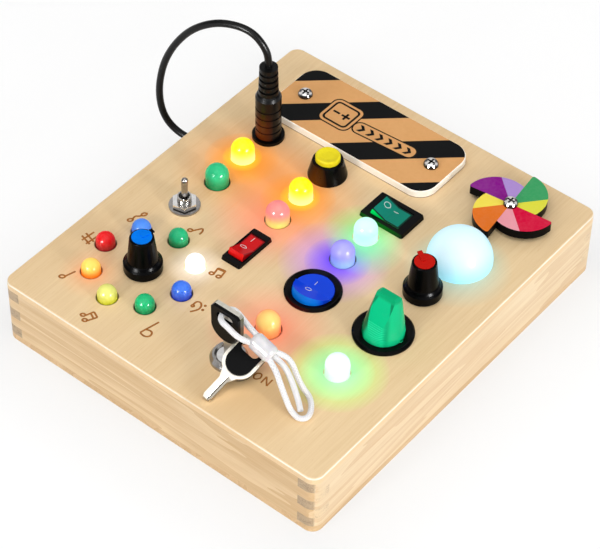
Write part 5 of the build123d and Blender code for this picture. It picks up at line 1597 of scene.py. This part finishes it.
def add_floor():
    """A pale floor that lights itself a little, less so close to the board, where that dimming is a
    painted shadow.
    """
    bm = bmesh.new()
    bmesh.ops.create_grid(bm, x_segments=4, y_segments=4, size=FLOOR_SIZE)
    mesh = bpy.data.meshes.new("floor")
    bm.to_mesh(mesh)
    bm.free()
    floor = bpy.data.objects.new("floor", mesh)
    bpy.context.scene.collection.objects.link(floor)
    material = bpy.data.materials.new("pale floor")
    material.use_nodes = True
    material.node_tree.nodes.clear()
    recipe = Recipe(material.node_tree)
    x, y, _ = recipe.parts(recipe.add("ShaderNodeTexCoord").outputs["Object"])
    out_x = recipe.math("SUBTRACT", recipe.math("ABSOLUTE", x), HALF_WIDTH * MM)
    out_y = recipe.math("SUBTRACT", recipe.math("ABSOLUTE", y), HALF_DEPTH * MM)
    out_x = recipe.math("MAXIMUM", out_x, 0.0)
    out_y = recipe.math("MAXIMUM", out_y, 0.0)
    away = recipe.vector("LENGTH", recipe.join(out_x, out_y, 0.0))
    lit = recipe.add("ShaderNodeBsdfDiffuse")
    recipe.feed(lit.inputs["Color"], FLOOR_WHITE)
    bright = recipe.add("ShaderNodeEmission")
    # painted shadow: the floor's own light dims close to the board
    recipe.feed(bright.inputs["Strength"], recipe.ease(away, -0.005, 0.06, 0.95, 1.08))
    rays = recipe.add("ShaderNodeLightPath").outputs
    seen = recipe.math("MAXIMUM", rays["Is Camera Ray"], rays["Is Glossy Ray"])
    seen = recipe.math("MAXIMUM", seen, rays["Is Transmission Ray"])
    share = recipe.math("MULTIPLY", seen, OWN_LIGHT)
    recipe.blend(share, lit, bright, "ShaderNodeOutputMaterial")
    mesh.materials.append(material)


def add_softbox(name, azimuth, elevation, distance, size, power, only_shine=False):
    """A square lamp aimed at the board's middle; only_shine leaves it out of the plain light."""
    data = bpy.data.lights.new(name, "AREA")
    data.shape = "SQUARE"
    data.size = size
    data.energy = power
    way = way_to(azimuth, elevation)
    turn = way.to_track_quat("Z", "Y").to_matrix().to_4x4()
    lamp = bpy.data.objects.new(name, data)
    lamp.matrix_world = Matrix.Translation(way * distance) @ turn
    lamp.visible_diffuse = not only_shine
    bpy.context.scene.collection.objects.link(lamp)


def add_world():
    """White behind the board; on the board itself, bands of bright and dim light."""
    world = bpy.data.worlds.new("studio")
    bpy.context.scene.world = world
    world.use_nodes = True
    world.node_tree.nodes.clear()
    recipe = Recipe(world.node_tree)
    height = recipe.parts(recipe.add("ShaderNodeTexCoord").outputs["Generated"])[2]
    level = recipe.ease(height, 0.02, 0.3, 0.85, 0.12)
    level = recipe.math("ADD", level, recipe.ease(height, 0.52, 0.68, 0.0, 0.75))
    level = recipe.math("SUBTRACT", level, recipe.ease(height, 0.8, 0.92, 0.0, 0.65))
    fill = recipe.add("ShaderNodeBackground")
    recipe.feed(fill.inputs["Color"], WHITE)
    recipe.feed(fill.inputs["Strength"], level)
    white = recipe.add("ShaderNodeBackground")
    recipe.feed(white.inputs["Color"], WHITE)
    rays = recipe.add("ShaderNodeLightPath").outputs
    recipe.blend(rays["Is Camera Ray"], fill, white, "ShaderNodeOutputWorld")


add_floor()
add_world()
# azimuth and elevation in degrees, distance and size in metres, power in watts
LEFT = (-4.0, 24.0)
RIGHT = (82.0, 18.0)
add_softbox("left_softbox", *LEFT, distance=1.0, size=0.2, power=2.1)
add_softbox("right_softbox", *RIGHT, distance=1.0, size=0.2, power=3.7)
add_softbox("left_sparkle", *LEFT, distance=1.02, size=0.26, power=17.0, only_shine=True)
add_softbox("right_sparkle", *RIGHT, distance=1.02, size=0.26, power=17.0, only_shine=True)
add_softbox("overhead", azimuth=20.0, elevation=80.0, distance=1.3, size=1.2, power=6.0)

bpy.context.scene.view_settings.view_transform = "Standard"
